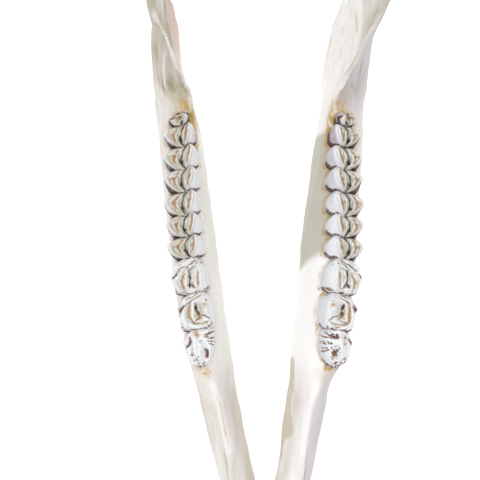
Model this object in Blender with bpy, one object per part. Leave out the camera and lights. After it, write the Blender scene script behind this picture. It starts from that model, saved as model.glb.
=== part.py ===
"""The lower jaw of an adult giraffe, in two halves that meet at the chin.

The jaw lies as it rests on a table, teeth up and chin towards -Y. It stands on four small flats at
one level, two under the chin and two under the angles of the jaw. Each half is one bone with its
teeth set in it. All lengths are in metres.
"""

from collections import namedtuple

import bmesh
import bpy
import numpy as np

MM = 0.001

# Distances along the jaw (y) are counted from the front of the first cheek tooth, backwards.
# The row origin lies this far behind it, in the middle of the jaw's length.
ORIGIN_Y = 22.9 * MM

# Half the gap that the two halves keep from each other at the chin.
HALF_GAP = 0.15 * MM

# How finely each form is drawn. The cuts of a lobe are shares of the way from its front to its
# cheek corner, and from there to its back.
BONE_RINGS = 44
BONE_RING_POINTS = 22
PROCESS_RINGS = 13
PROCESS_RING_POINTS = 14
CUTS_BEFORE_CORNER = (0.0, 0.3, 0.6, 0.85, 1.0)
CUTS_BEHIND_CORNER = (0.45, 0.8)
FRONT_TOOTH_RINGS = 7

BONE_COLOUR = (0.79, 0.75, 0.66, 1.0)
BONE_ROUGHNESS = 0.55

# One cross-section of the bone, in millimetres. It stands on the line from its low point to its
# high point, seen from the side. inner and outer are how far its two faces lie from the jaw's
# middle plane, near the low end, half way and near the high end. crest is where the high end
# lies, and square is how boxy the section is: 2 is an ellipse.
Section = namedtuple("Section", "low high inner outer crest square")

BODY = {
    "incisor rim": Section((-212, 36), (-211, 45), (-6, -8, -6), (9, 13, 12), 6, 3.0),
    "incisor sockets": Section((-203, 30), (-203, 47), (-9, -9, -6), (18, 27, 27), 15, 2.8),
    "canine": Section((-188, 22), (-189, 47), (-9, -9, -6), (21, 32, 31), 19, 2.5),
    "spoon": Section((-170, 11), (-172, 41), (-9, -9, -5), (18, 25.5, 24), 14, 2.4),
    "chin": Section((-147, 0.5), (-148, 36.5), (-8, -8, -4), (14, 20.5, 18), 11, 2.4),
    "chin flat": Section((-134, -1.4), (-135, 35), (-5, -5, -1), (16, 21, 18), 12, 2.4),
    "back of chin": Section((-118, -1.4), (-118, 34), (-1, -1, 4), (19, 24, 20), 14.5, 2.4),
    "parting": Section((-100, 0.8), (-100, 33.5), (4.5, 3.5, 8), (23, 28, 23.5), 19, 2.3),
    "bare bar": Section((-75, 3), (-75, 35), (11, 9.5, 15.5), (28.5, 34, 29.5), 25, 2.3),
    "bar end": Section((-42, 5), (-42, 40), (17, 15.5, 23), (37, 42, 36.5), 30, 2.4),
    "first socket": Section((-13, 6.5), (-13, 49.5), (22, 21, 29), (41.5, 47.5, 45), 37, 2.7),
    "front of row": Section((5, 6.5), (4, 56.5), (24, 22, 31.5), (42, 51, 52), 42, 3.4),
    "third premolar": Section((40, 5), (40, 61), (30, 27, 34), (46.5, 56.5, 57.5), 45.5, 3.8),
    "first molar": Section((85, 3), (85, 65), (35, 31.5, 38), (50.5, 61.5, 62.5), 50, 3.8),
    "second molar": Section((125, 2), (125, 69), (40, 36.5, 40.5), (52.5, 65, 65.5), 52, 3.8),
    "last molar": Section((154, 3.5), (153, 73), (42.5, 40, 41.5), (55, 68, 66), 52, 3.2),
    "back of row": Section((180, 6), (172, 82), (46, 45.5, 44.5), (58, 71, 55), 47, 2.6),
    "rising edge": Section((208, 5), (182, 104), (51.5, 54, 50.5), (63, 71.5, 57), 52.5, 2.6),
    "angle flat": Section((228, -3.6), (187, 120), (52, 57.5, 52.5), (65, 72.5, 58.5), 55, 2.6),
    "angle": Section((243, -3.6), (192, 131), (52.5, 59, 54), (67, 73, 60), 57, 2.6),
    "back of angle": Section((262, 10), (196, 142), (59, 61.5, 55.5), (72, 71.5, 61.5), 58.5, 2.6),
    "rear edge": Section((274, 40), (199, 151), (61, 62, 56.5), (73, 70, 62.5), 59.5, 2.6),
    "above rear edge": Section((272, 80), (201, 156), (60, 62, 57), (71, 68.5, 63), 60, 2.6),
    "neck": Section((266, 118), (202, 160), (59, 62, 57.5), (70, 68.5, 63.5), 60.5, 2.6),
    "notch": Section((262, 146), (204, 163), (59, 62.5, 58), (69, 67.5, 64), 61, 2.6),
    "notch lip": Section((260, 151), (206, 165), (62, 63.6, 60), (66, 66, 62.5), 61.5, 2.2),
}

# The long hooked blade in front of the notch, from inside the bone to its tip.
BLADE = {
    "root": Section((236, 118), (192, 125), (58, 60, 55), (66, 67, 60), 57, 2.6),
    "base": Section((232, 146), (198, 150), (60, 61, 56.5), (65.5, 66.5, 61.5), 59, 2.6),
    "shank": Section((229, 172), (204, 174), (61, 61.5, 58.5), (65.5, 66.5, 63), 61, 2.4),
    "middle": Section((229, 195), (209, 197), (62, 62, 60.5), (66, 66.7, 64.5), 62.5, 2.3),
    "bend": Section((232, 212), (214.5, 217), (63, 62.6, 61.8), (66, 66.7, 65.5), 63.7, 2.2),
    "hook": Section((238.5, 224), (223, 232), (63.4, 63, 62.6), (66, 66.5, 65.6), 64.2, 2.2),
    "point": Section((245.5, 231), (234, 241.5), (63.8, 63.4, 63.4), (65.6, 66.0, 65.4), 64.5, 2.2),
    "tip": Section((250.5, 238), (246, 244), (64.3, 64.0, 64.2), (65.3, 65.5, 65.3), 64.8, 2.0),
}

# The neck behind the notch and the roller on it that the skull turns on.
KNUCKLE = {
    "root": Section((266, 100), (238, 104), (61.5, 62.5, 62), (69, 68, 67), 64.5, 2.6),
    "neck": Section((266, 135), (241, 137), (58, 60.5, 59), (70, 69.5, 68), 64, 2.5),
    "flare": Section((267.5, 156), (245, 158), (53, 54, 54), (72, 71.5, 70), 63, 2.4),
    "under roller": Section((270.5, 167), (246.5, 169), (45, 44, 46), (76, 76.5, 75), 61, 2.3),
    "roller": Section((271.5, 176), (247.5, 178), (40, 39, 40), (79, 80.5, 79), 60, 2.3),
    "roller top": Section((268, 182.5), (250, 184.5), (42, 40.5, 42), (76, 78, 76), 60, 2.2),
    "crown": Section((262.5, 186.5), (255, 187), (46, 45, 46), (72, 73, 72), 60, 2.0),
}

# A premolar: where it starts, its length and width, and its rows. A row gives a share of the
# tooth's length, then how far the tongue-side neck and rim, the groove, and the cheek-side rim and
# neck lie from the tooth's middle, as shares of its half width, and then how high the tongue-side
# rim, the groove and the cheek-side rim stand over the bone.
Premolar = namedtuple("Premolar", "front length width rows")
PREMOLARS = {
    "premolar_2": Premolar(
        0.3,
        24.6,
        21.6,
        (
            (0.00, 0.26, 0.14, -0.02, 0.12, 0.26, 6.5, 6.2, 6.5),
            (0.06, 0.50, 0.34, 0.00, 0.34, 0.50, 9.6, 9.4, 9.6),
            (0.18, 0.74, 0.48, 0.02, 0.50, 0.74, 11.2, 12.8, 11.2),
            (0.40, 0.92, 0.60, 0.04, 0.64, 0.92, 12.0, 15.2, 12.0),
            (0.60, 1.00, 0.64, 0.04, 0.66, 0.95, 12.4, 14.8, 12.0),
            (0.78, 1.00, 0.66, 0.02, 0.58, 0.88, 12.6, 13.6, 11.4),
            (0.90, 0.96, 0.62, 0.00, 0.50, 0.78, 12.6, 12.6, 11.0),
            (1.00, 0.80, 0.50, 0.00, 0.36, 0.62, 11.2, 11.0, 9.5),
        ),
    ),
    "premolar_3": Premolar(
        24.3,
        24.7,
        24.3,
        (
            (0.00, 0.62, 0.40, -0.05, 0.35, 0.62, 10.0, 9.8, 9.5),
            (0.07, 0.86, 0.62, -0.08, 0.60, 0.84, 12.6, 11.8, 12.0),
            (0.22, 0.97, 0.66, -0.10, 0.70, 0.95, 14.0, 12.6, 12.9),
            (0.40, 1.00, 0.64, -0.12, 0.76, 0.98, 15.2, 12.2, 13.3),
            (0.55, 1.00, 0.60, -0.12, 0.72, 0.98, 15.9, 12.3, 13.2),
            (0.70, 0.98, 0.58, -0.10, 0.58, 0.90, 16.0, 12.9, 12.8),
            (0.80, 0.93, 0.58, -0.12, 0.52, 0.82, 16.0, 13.4, 12.5),
            (0.90, 0.80, 0.52, -0.20, 0.38, 0.68, 15.0, 13.2, 12.0),
            (1.00, 0.58, 0.46, -0.35, 0.05, 0.45, 13.0, 12.4, 11.0),
        ),
    ),
    "premolar_4": Premolar(
        48.4,
        23.4,
        24.6,
        (
            (0.00, 0.60, 0.34, -0.05, 0.30, 0.58, 10.5, 10.2, 10.5),
            (0.07, 0.88, 0.50, -0.05, 0.56, 0.80, 13.4, 12.0, 12.6),
            (0.24, 0.98, 0.56, 0.04, 0.80, 0.93, 16.6, 11.6, 14.0),
            (0.45, 1.00, 0.58, 0.06, 0.97, 1.00, 17.5, 11.0, 14.5),
            (0.58, 0.98, 0.56, 0.04, 0.90, 0.97, 17.3, 11.4, 14.0),
            (0.66, 0.93, 0.54, 0.00, 0.66, 0.84, 16.8, 12.2, 12.6),
            (0.75, 0.84, 0.52, -0.08, 0.80, 0.90, 16.2, 12.6, 12.8),
            (0.88, 0.68, 0.50, -0.18, 0.54, 0.74, 15.2, 12.8, 12.4),
            (1.00, 0.46, 0.42, -0.30, 0.16, 0.46, 12.6, 11.8, 11.0),
        ),
    ),
}

# A lobe of a molar: its share of the tooth's length, how wide it is on its cheek side and on its
# tongue side, how far back its cheek corner stands, from -1 at its front to 1 at its back, and how
# far the notch in front of it and the notch behind it are filled.
Lobe = namedtuple("Lobe", "share cheek tongue corner front_fill back_fill")

# A molar: where it starts, its length and width, and how high its tongue side and its cheek side
# stand over the bone.
Molar = namedtuple("Molar", "front length width tongue_height cheek_height lobes")
MOLARS = {
    "molar_1": Molar(
        71.3,
        28.8,
        24.2,
        17.0,
        14.0,
        (Lobe(0.5, 1.0, 1.0, 0.42, 0, 0), Lobe(0.5, 0.98, 0.98, 0.42, 0, 0)),
    ),
    "molar_2": Molar(
        99.5,
        30.2,
        24.0,
        18.0,
        15.0,
        (Lobe(0.5, 1.0, 1.0, 0.42, 0, 0), Lobe(0.5, 0.98, 0.99, 0.45, 0, 0)),
    ),
    "molar_3": Molar(
        129.2,
        35.6,
        23.4,
        18.0,
        15.0,
        (
            Lobe(0.41, 1.0, 0.98, 0.42, 0, 0),
            Lobe(0.38, 0.88, 0.86, 0.35, 0, 0.1),
            Lobe(0.21, 0.60, 0.50, 0.0, 0.3, 0.5),
        ),
    ),
}
ROW_Y = (0, 12, 37, 59, 85, 114, 140, 153, 166)
ROW_X = (42.3, 43.0, 44.8, 48.3, 51.1, 52.4, 52.4, 52.8, 52.6)
SOCKET_Y = (0, 40, 85, 125, 155, 170)
SOCKET_Z = (55.5, 60.5, 64.5, 68.5, 72, 74)
ROOT_DEPTH = 9.0
ROOT_SHARE = 0.62
TONGUE_SET_BACK = 1.3

# The edges of a lobe, as shares of its half width: how far out each lies at the lobe's corner, at
# its front end and at its back end, and how square it is before and behind the corner.
Edge = namedtuple("Edge", "corner front back square_front square_back")
CHEEK_RIM = Edge(0.93, 0.08, 0.18, 1.8, 2.0)
CHEEK_NECK = Edge(0.97, 0.64, 0.64, 2.0, 2.0)
TONGUE_RIM = Edge(0.56, 0.42, 0.48, 2.0, 1.8)
TONGUE_NECK = Edge(1.0, 0.70, 0.56, 6.0, 1.8)
CHEEK_BULGE = 0.08
TONGUE_BULGE = 0.06
BULGING_NECK = 0.5
RIM_DROP = 4.2
GROOVE_DEPTH = 4.5

# Where the groove of a lobe runs: the share of the lobe's length, and the place across.
GROOVE_PATH = ((0, -0.22), (0.25, 0.02), (0.42, 0.10), (0.65, 0.06), (0.87, -0.06), (1, -0.22))

# The left half leans a little and stands a little further forward: its tooth row stands out and
# its lower edge leans in, by so many millimetres along the jaw, between a low and a high level.
LEAN_Y = (-130, -75, -42, -13, 5, 40, 85, 125, 154, 172, 186, 203, 214, 224, 236, 246, 277)
LEAN_TOP = (0, 2.4, 1.5, 1.5, 4.4, 3.7, 1.8, 0.6, 0, 0.6, 1.2, 1.4, 1.4, 1.2, 0.9, 0.5, 0)
LEAN_FOOT = (0, 0.1, -2, -3, -3.5, -3.8, -4, -3.3, -2, -2.6, -4.4, -8, -6.6, -4.2, -2, 0.8, 1.5)
LEAN_LEVELS = (5, 75)
LEFT_FORWARD = 2.0 * MM

# The front teeth: three incisors and the two-lobed canine beside them, widths from the middle out.
FRONT_WIDTHS = (17.5, 16.0, 14.0, 19.5)
FRONT_LENGTHS = (22.0, 21.0, 19.5, 17.5)
FRONT_THICKNESS = 9.0
FRONT_RISE = 32.0
ARCADE_CENTRE_Y = -184.0
SOCKET_ARC = (25.0, 24.0)
TIP_ARC = (38.0, 46.0)
SOCKET_ARC_Z = 44.0
CANINE_NOTCH = 3.5

# The outline of a front tooth seen from its side, from its root over the lip side to the tip and
# back: the share of its length, of its width and of its thickness.
FRONT_OUTLINE = (
    (-0.5, 0.30, 0.30),
    (0.0, 0.46, 0.48),
    (0.3, 0.64, 0.46),
    (0.65, 0.90, 0.34),
    (0.92, 1.0, 0.16),
    (1.0, 0.98, 0.04),
    (0.96, 0.98, -0.06),
    (0.65, 0.88, -0.10),
    (0.3, 0.62, -0.28),
    (0.0, 0.46, -0.46),
    (-0.5, 0.30, -0.30),
)


def smooth_through(knots, values, at):
    """Cubic pieces through the knots that never overshoot them, column by column."""
    knots = np.asarray(knots, float)
    values = np.asarray(values, float)
    values = values.reshape(len(knots), -1)
    steps = np.diff(knots)[:, None]
    slopes = np.diff(values, axis=0) / steps
    tangents = np.zeros_like(values)
    same_way = slopes[:-1] * slopes[1:] > 0
    first = 2 * steps[1:] + steps[:-1]
    second = steps[1:] + 2 * steps[:-1]
    with np.errstate(divide="ignore", invalid="ignore"):
        mean = (first + second) / (first / slopes[:-1] + second / slopes[1:])
    tangents[1:-1] = np.where(same_way, mean, 0)
    tangents[0] = slopes[0]
    tangents[-1] = slopes[-1]
    at = np.clip(np.atleast_1d(at).astype(float), knots[0], knots[-1])
    piece = np.clip(np.searchsorted(knots, at, side="right") - 1, 0, len(knots) - 2)
    width = steps[piece]
    t = (at[:, None] - knots[piece][:, None]) / width
    a, b = values[piece], values[piece + 1]
    ta, tb = tangents[piece] * width, tangents[piece + 1] * width
    return (
        a * (2 * t**3 - 3 * t**2 + 1)
        + ta * (t**3 - 2 * t**2 + t)
        + b * (3 * t**2 - 2 * t**3)
        + tb * (t**3 - t**2)
    )


def section_rings(sections, rings, points):
    """Rings of points, in millimetres, along a form given by its named sections."""
    table = np.array(
        [[*s.low, *s.high, *s.inner, *s.outer, s.crest, s.square] for s in sections.values()]
    )
    middles = (table[:, 0:2] + table[:, 2:4]) / 2
    travel = np.hypot(*np.diff(middles, axis=0).T)
    knots = np.concatenate([[0], np.cumsum(travel)])
    rows = smooth_through(knots, table, np.linspace(0, knots[-1], rings))[:, None, :]
    turn = np.linspace(0, 2 * np.pi, points, endpoint=False)[None, :]
    power = 2 / rows[..., 11]
    up = 0.5 - 0.5 * np.sign(np.cos(turn)) * np.abs(np.cos(turn)) ** power
    spread = np.abs(np.sin(turn)) ** power
    low_weight = (1 - up) * (1 - 2 * up)
    middle_weight = 4 * up * (1 - up)
    high_weight = up * (2 * up - 1)
    inner = rows[..., 4] * low_weight + rows[..., 5] * middle_weight + rows[..., 6] * high_weight
    outer = rows[..., 7] * low_weight + rows[..., 8] * middle_weight + rows[..., 9] * high_weight
    foot = (rows[..., 4] + rows[..., 7]) / 2
    spine = foot + (rows[..., 10] - foot) * up
    side = np.where(np.sin(turn) > 0, outer, inner)
    x = spine + spread * (side - spine)
    y = rows[..., 0] + (rows[..., 2] - rows[..., 0]) * up
    z = rows[..., 1] + (rows[..., 3] - rows[..., 1]) * up
    return np.stack([x, y, z], axis=-1)


def place(points):
    """Millimetres from the front of the tooth row to metres in the row frame, over the floor."""
    placed = np.array(points, float) * MM
    placed[..., 0] = np.maximum(placed[..., 0], HALF_GAP)
    placed[..., 1] -= ORIGIN_Y
    placed[..., 2] = np.maximum(placed[..., 2], 0)
    return placed


def closed_form(name, rings, collection):
    """A closed mesh from rings of points, each end shut by one face."""
    count, points = rings.shape[:2]
    form = bmesh.new()
    corners = [form.verts.new(corner) for corner in place(rings).reshape(-1, 3)]
    for ring in range(count - 1):
        for point in range(points):
            following = (point + 1) % points
            form.faces.new(
                (
                    corners[ring * points + point],
                    corners[ring * points + following],
                    corners[(ring + 1) * points + following],
                    corners[(ring + 1) * points + point],
                )
            )
    form.faces.new(corners[:points][::-1])
    form.faces.new(corners[-points:])
    bmesh.ops.remove_doubles(form, verts=form.verts, dist=0.00001)
    bmesh.ops.triangulate(form, faces=form.faces)
    bmesh.ops.recalc_face_normals(form, faces=form.faces)
    mesh = bpy.data.meshes.new(name)
    form.to_mesh(mesh)
    form.free()
    made = bpy.data.objects.new(name, mesh)
    collection.objects.link(made)
    return made


def premolar_rings(tooth):
    """Rings across a premolar, one for each of its rows, in millimetres."""
    rings = []
    for share, *row in tooth.rows:
        rings.append(crown_ring(tooth.width, tooth.front + tooth.length * share, row))
    return np.array(rings)


def molar_rings(tooth):
    """Rings across a molar, from its front to its back, in millimetres."""
    start = tooth.front
    rings = []
    for lobe in tooth.lobes:
        before = [-1 + cut * (lobe.corner + 1) for cut in CUTS_BEFORE_CORNER]
        behind = [lobe.corner + cut * (1 - lobe.corner) for cut in CUTS_BEHIND_CORNER]
        ends = [1.0] if lobe is tooth.lobes[-1] else []
        for p in before + behind + ends:
            along = start + tooth.length * lobe.share * (p + 1) / 2
            rings.append(crown_ring(tooth.width, along, molar_row(tooth, lobe, p)))
        start += tooth.length * lobe.share
    return np.array(rings)


def away_from(p, corner):
    """How far p is from the corner, as a share of the way to the lobe's end."""
    return (corner - p) / (corner + 1) if p < corner else (p - corner) / (1 - corner)


def reach(edge, p, corner, lobe):
    """How far out an edge lies at p, as a share of the lobe's half width."""
    end = edge.front if p < corner else edge.back
    fill = lobe.front_fill if p < corner else lobe.back_fill
    square = edge.square_front if p < corner else edge.square_back
    end += (edge.corner - end) * fill
    return edge.corner + (end - edge.corner) * away_from(p, corner) ** square


def molar_row(tooth, lobe, p):
    """A row like a premolar's for one place in a lobe: p runs from -1 at its front to 1."""
    fill = lobe.front_fill if p < lobe.corner else lobe.back_fill
    cheek_top = tooth.cheek_height - RIM_DROP * (1 - fill) * away_from(p, lobe.corner) ** 1.3
    tongue_top = tooth.tongue_height - RIM_DROP * (1 - fill) * away_from(p, 0.1) ** 1.8
    floor = min(cheek_top, tongue_top) - GROOVE_DEPTH * (1 - 0.6 * p**2)
    groove = float(smooth_through(*zip(*GROOVE_PATH), (p + 1) / 2)[0, 0])
    return (
        reach(TONGUE_NECK, p, 0.0, lobe) * lobe.tongue,
        reach(TONGUE_RIM, p, 0.0, lobe) * lobe.tongue,
        groove * (lobe.cheek if groove > 0 else lobe.tongue),
        reach(CHEEK_RIM, p, lobe.corner, lobe) * lobe.cheek,
        reach(CHEEK_NECK, p, 0.4 * lobe.corner, lobe) * lobe.cheek,
        tongue_top,
        floor,
        cheek_top,
    )


def crown_ring(width, along, row):
    """One ring across a crown, from its tongue-side root over its biting face to its cheek side."""
    tongue_neck, tongue_rim, groove, cheek_rim, cheek_neck, tongue_top, floor, cheek_top = row
    bulge = CHEEK_BULGE if cheek_neck > BULGING_NECK else 0
    outline = (
        (-tongue_neck * ROOT_SHARE, -ROOT_DEPTH),
        (-tongue_neck, 1.0),
        (-0.4 * tongue_rim - 0.6 * tongue_neck - TONGUE_BULGE, 0.72 * tongue_top),
        (-tongue_rim, tongue_top),
        ((groove - tongue_rim) / 2, 0.3 * floor + 0.7 * tongue_top),
        (groove, floor),
        ((2 * groove + cheek_rim) / 3, 0.4 * floor + 0.6 * cheek_top),
        ((groove + 3 * cheek_rim) / 4, cheek_top - 0.4),
        (cheek_rim, cheek_top),
        ((cheek_neck + cheek_rim) / 2 + bulge, 0.6 * cheek_top),
        (cheek_neck, 0.5),
        (cheek_neck * ROOT_SHARE, -ROOT_DEPTH),
    )
    middle = float(smooth_through(ROW_Y, ROW_X, along)[0, 0])
    bone_top = float(smooth_through(SOCKET_Y, SOCKET_Z, along)[0, 0])
    return [
        (middle + out * width / 2, along - TONGUE_SET_BACK * out, bone_top + height)
        for out, height in outline
    ]


def arcade_point(distance, arc):
    """Where a point lies on the front arc, so far from the jaw's middle along the tips."""
    turn = np.linspace(0, np.pi / 2, 200)
    tips = np.stack([TIP_ARC[0] * np.sin(turn), -TIP_ARC[1] * np.cos(turn)], axis=-1)
    travel = np.concatenate([[0], np.cumsum(np.hypot(*np.diff(tips, axis=0).T))])
    angle = np.interp(distance, travel, turn)
    return np.array([arc[0] * np.sin(angle), ARCADE_CENTRE_Y - arc[1] * np.cos(angle)])


def front_tooth_rings(start, width, length, notch):
    """Rings across one spade-shaped front tooth, from its inner edge to its outer edge."""
    root = arcade_point(start + width / 2, SOCKET_ARC)
    tip = arcade_point(start + width / 2, TIP_ARC)
    forward = (tip - root) / np.linalg.norm(tip - root)
    rise = np.radians(FRONT_RISE)
    axis = np.array([*(forward * np.cos(rise)), np.sin(rise)])
    across = np.array([-forward[1], forward[0], 0.0])
    face = np.cross(across, axis)
    base = np.array([*root, SOCKET_ARC_Z])
    rings = []
    for u in np.linspace(-1, 1, FRONT_TOOTH_RINGS):
        tip_reach = length * (1 - 0.22 * abs(u) ** 3) - notch * np.exp(-(((u - 0.25) / 0.2) ** 2))
        round_edge = np.sqrt(1 - 0.8 * u**2)
        ring = []
        for level, wide, deep in FRONT_OUTLINE:
            along = tip_reach if level > 0 else length
            out = across * (u * width / 2 * wide) + face * (FRONT_THICKNESS * deep * round_edge)
            ring.append(base + axis * along * level + out)
        rings.append(ring)
    return np.array(rings)


def bone_material():
    """Dry, pale bone."""
    material = bpy.data.materials.new("bone")
    material.use_nodes = True
    shader = material.node_tree.nodes["Principled BSDF"]
    shader.inputs["Base Color"].default_value = BONE_COLOUR
    shader.inputs["Roughness"].default_value = BONE_ROUGHNESS
    material.diffuse_color = BONE_COLOUR
    return material


def half_forms(pieces):
    """The loose forms of the left half, bone first: they are joined into one body afterwards."""
    bone = closed_form(
        "left_jawbone", section_rings(BODY, BONE_RINGS, BONE_RING_POINTS), bpy.context.collection
    )
    closed_form("blade", section_rings(BLADE, PROCESS_RINGS, PROCESS_RING_POINTS), pieces)
    closed_form("knuckle", section_rings(KNUCKLE, PROCESS_RINGS, PROCESS_RING_POINTS), pieces)
    for name, tooth in PREMOLARS.items():
        closed_form(name, premolar_rings(tooth), pieces)
    for name, tooth in MOLARS.items():
        closed_form(name, molar_rings(tooth), pieces)
    start = 0.2
    for number, (width, length) in enumerate(zip(FRONT_WIDTHS, FRONT_LENGTHS)):
        notch = CANINE_NOTCH if number == len(FRONT_WIDTHS) - 1 else 0.0
        closed_form(f"front_{number + 1}", front_tooth_rings(start, width, length, notch), pieces)
        start += width
    return bone


def join_forms(bone, pieces):
    """Joins the pieces to the bone by one Boolean union and removes them."""
    union = bone.modifiers.new("join teeth", "BOOLEAN")
    union.operation = "UNION"
    union.solver = "MANIFOLD"
    union.operand_type = "COLLECTION"
    union.collection = pieces
    graph = bpy.context.evaluated_depsgraph_get()
    joined = bpy.data.meshes.new_from_object(bone.evaluated_get(graph))
    bone.modifiers.clear()
    bone.data = joined
    for piece in list(pieces.objects):
        bpy.data.objects.remove(piece)
    keep_largest_surface(bone.data)


def keep_largest_surface(mesh):
    """Drops any loose scrap or sealed hollow that the union leaves."""
    form = bmesh.new()
    form.from_mesh(mesh)
    bmesh.ops.remove_doubles(form, verts=form.verts, dist=0.00002)
    unseen = set(form.faces)
    surfaces = []
    while unseen:
        edge_of_walk = [unseen.pop()]
        surface = []
        while edge_of_walk:
            face = edge_of_walk.pop()
            surface.append(face)
            for edge in face.edges:
                for other in edge.link_faces:
                    if other in unseen:
                        unseen.remove(other)
                        edge_of_walk.append(other)
        surfaces.append(surface)
    surfaces.sort(key=len)
    for surface in surfaces[:-1]:
        bmesh.ops.delete(form, geom=surface, context="FACES")
    bmesh.ops.triangulate(form, faces=form.faces)
    form.to_mesh(mesh)
    form.free()


def lean_out(half):
    """Leans the left half a little, as in the real jaw: its row outwards, its lower edge inwards,
    and the whole of it forwards."""
    corners = np.empty(3 * len(half.data.vertices), dtype=np.float32)
    half.data.vertices.foreach_get("co", corners)
    corners = corners.reshape(-1, 3)
    y = (corners[:, 1] + ORIGIN_Y) / MM
    low, high = LEAN_LEVELS
    up = np.clip((corners[:, 2] / MM - low) / (high - low), 0, 1)
    up = up * up * (3 - 2 * up)
    foot, top = smooth_through(LEAN_Y, np.stack([LEAN_FOOT, LEAN_TOP], axis=-1), y).T
    corners[:, 0] += (foot + (top - foot) * up) * MM
    corners[:, 1] -= LEFT_FORWARD
    half.data.vertices.foreach_set("co", corners.ravel())


def mirrored(half, name):
    """The other half, as a mirror image in the jaw's middle plane."""
    mesh = half.data.copy()
    mesh.name = name
    corners = np.empty(3 * len(mesh.vertices), dtype=np.float32)
    mesh.vertices.foreach_get("co", corners)
    mesh.vertices.foreach_set("co", (corners.reshape(-1, 3) * (-1, 1, 1)).ravel())
    mesh.flip_normals()
    other = bpy.data.objects.new(name, mesh)
    bpy.context.collection.objects.link(other)
    return other


def main():
    for old in list(bpy.data.objects):
        bpy.data.objects.remove(old)
    jaw = bpy.data.collections.new("giraffe_jaw")
    bpy.context.scene.collection.children.link(jaw)
    pieces = bpy.data.collections.new("forms_to_join")
    bpy.context.scene.collection.children.link(pieces)
    bpy.context.view_layer.active_layer_collection = (
        bpy.context.view_layer.layer_collection.children[jaw.name]
    )
    left = half_forms(pieces)
    join_forms(left, pieces)
    bpy.data.collections.remove(pieces)
    right = mirrored(left, "right_jawbone")
    lean_out(left)
    bone = bone_material()
    for half in (left, right):
        half.data.materials.clear()
        half.data.materials.append(bone)


main()
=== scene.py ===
"""The looks of a giraffe's lower jaw: cream-white dry bone, worn cheek teeth with brown dentine and
dark grooves, golden sockets, and a pale studio seen from straight above.

Lengths in the tables are millimetres. x is counted from the jaw's middle plane outwards, y from
the front of the first cheek tooth backwards and z from the floor. Each half is worked out on the
animal's left side and then placed, the left one leaning a little and the right one mirrored.
"""

import math
from collections import namedtuple

import bpy
import numpy as np
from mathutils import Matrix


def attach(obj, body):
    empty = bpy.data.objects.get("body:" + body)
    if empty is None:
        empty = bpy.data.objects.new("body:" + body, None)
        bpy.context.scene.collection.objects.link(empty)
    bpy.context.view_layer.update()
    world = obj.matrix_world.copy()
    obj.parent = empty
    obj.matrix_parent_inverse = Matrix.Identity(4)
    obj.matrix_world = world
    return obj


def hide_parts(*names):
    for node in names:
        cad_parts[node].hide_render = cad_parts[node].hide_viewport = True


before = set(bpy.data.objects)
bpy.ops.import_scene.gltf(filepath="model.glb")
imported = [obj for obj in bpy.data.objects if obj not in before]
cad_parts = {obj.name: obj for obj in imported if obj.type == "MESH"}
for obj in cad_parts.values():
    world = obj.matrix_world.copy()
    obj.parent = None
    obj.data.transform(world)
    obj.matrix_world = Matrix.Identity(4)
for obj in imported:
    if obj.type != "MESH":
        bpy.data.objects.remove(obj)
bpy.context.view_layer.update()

bl_info = {
    "name": "Giraffe Lower Jaw",
    "version": (1, 0, 0),
    "blender": (4, 5, 0),
    "location": "3D View > Sidebar > Jaw",
    "description": "Builds a dry giraffe lower jaw with its teeth in a pale studio",
    "category": "Add Mesh",
}

# The tables are in millimetres and the scene is in metres.
MM = 0.001
# Where the jaw's middle lies along y, and half of the gap between its two halves.
ORIGIN_Y = 22.9
HALF_GAP = 0.15

# One cross-section of the bone: its low and high point from the side, how far its inner and outer
# faces lie from the middle plane near the low end, half way and near the high end, where its crest
# lies, and how square it is.
Section = namedtuple("Section", "low high inner outer crest square")

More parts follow.
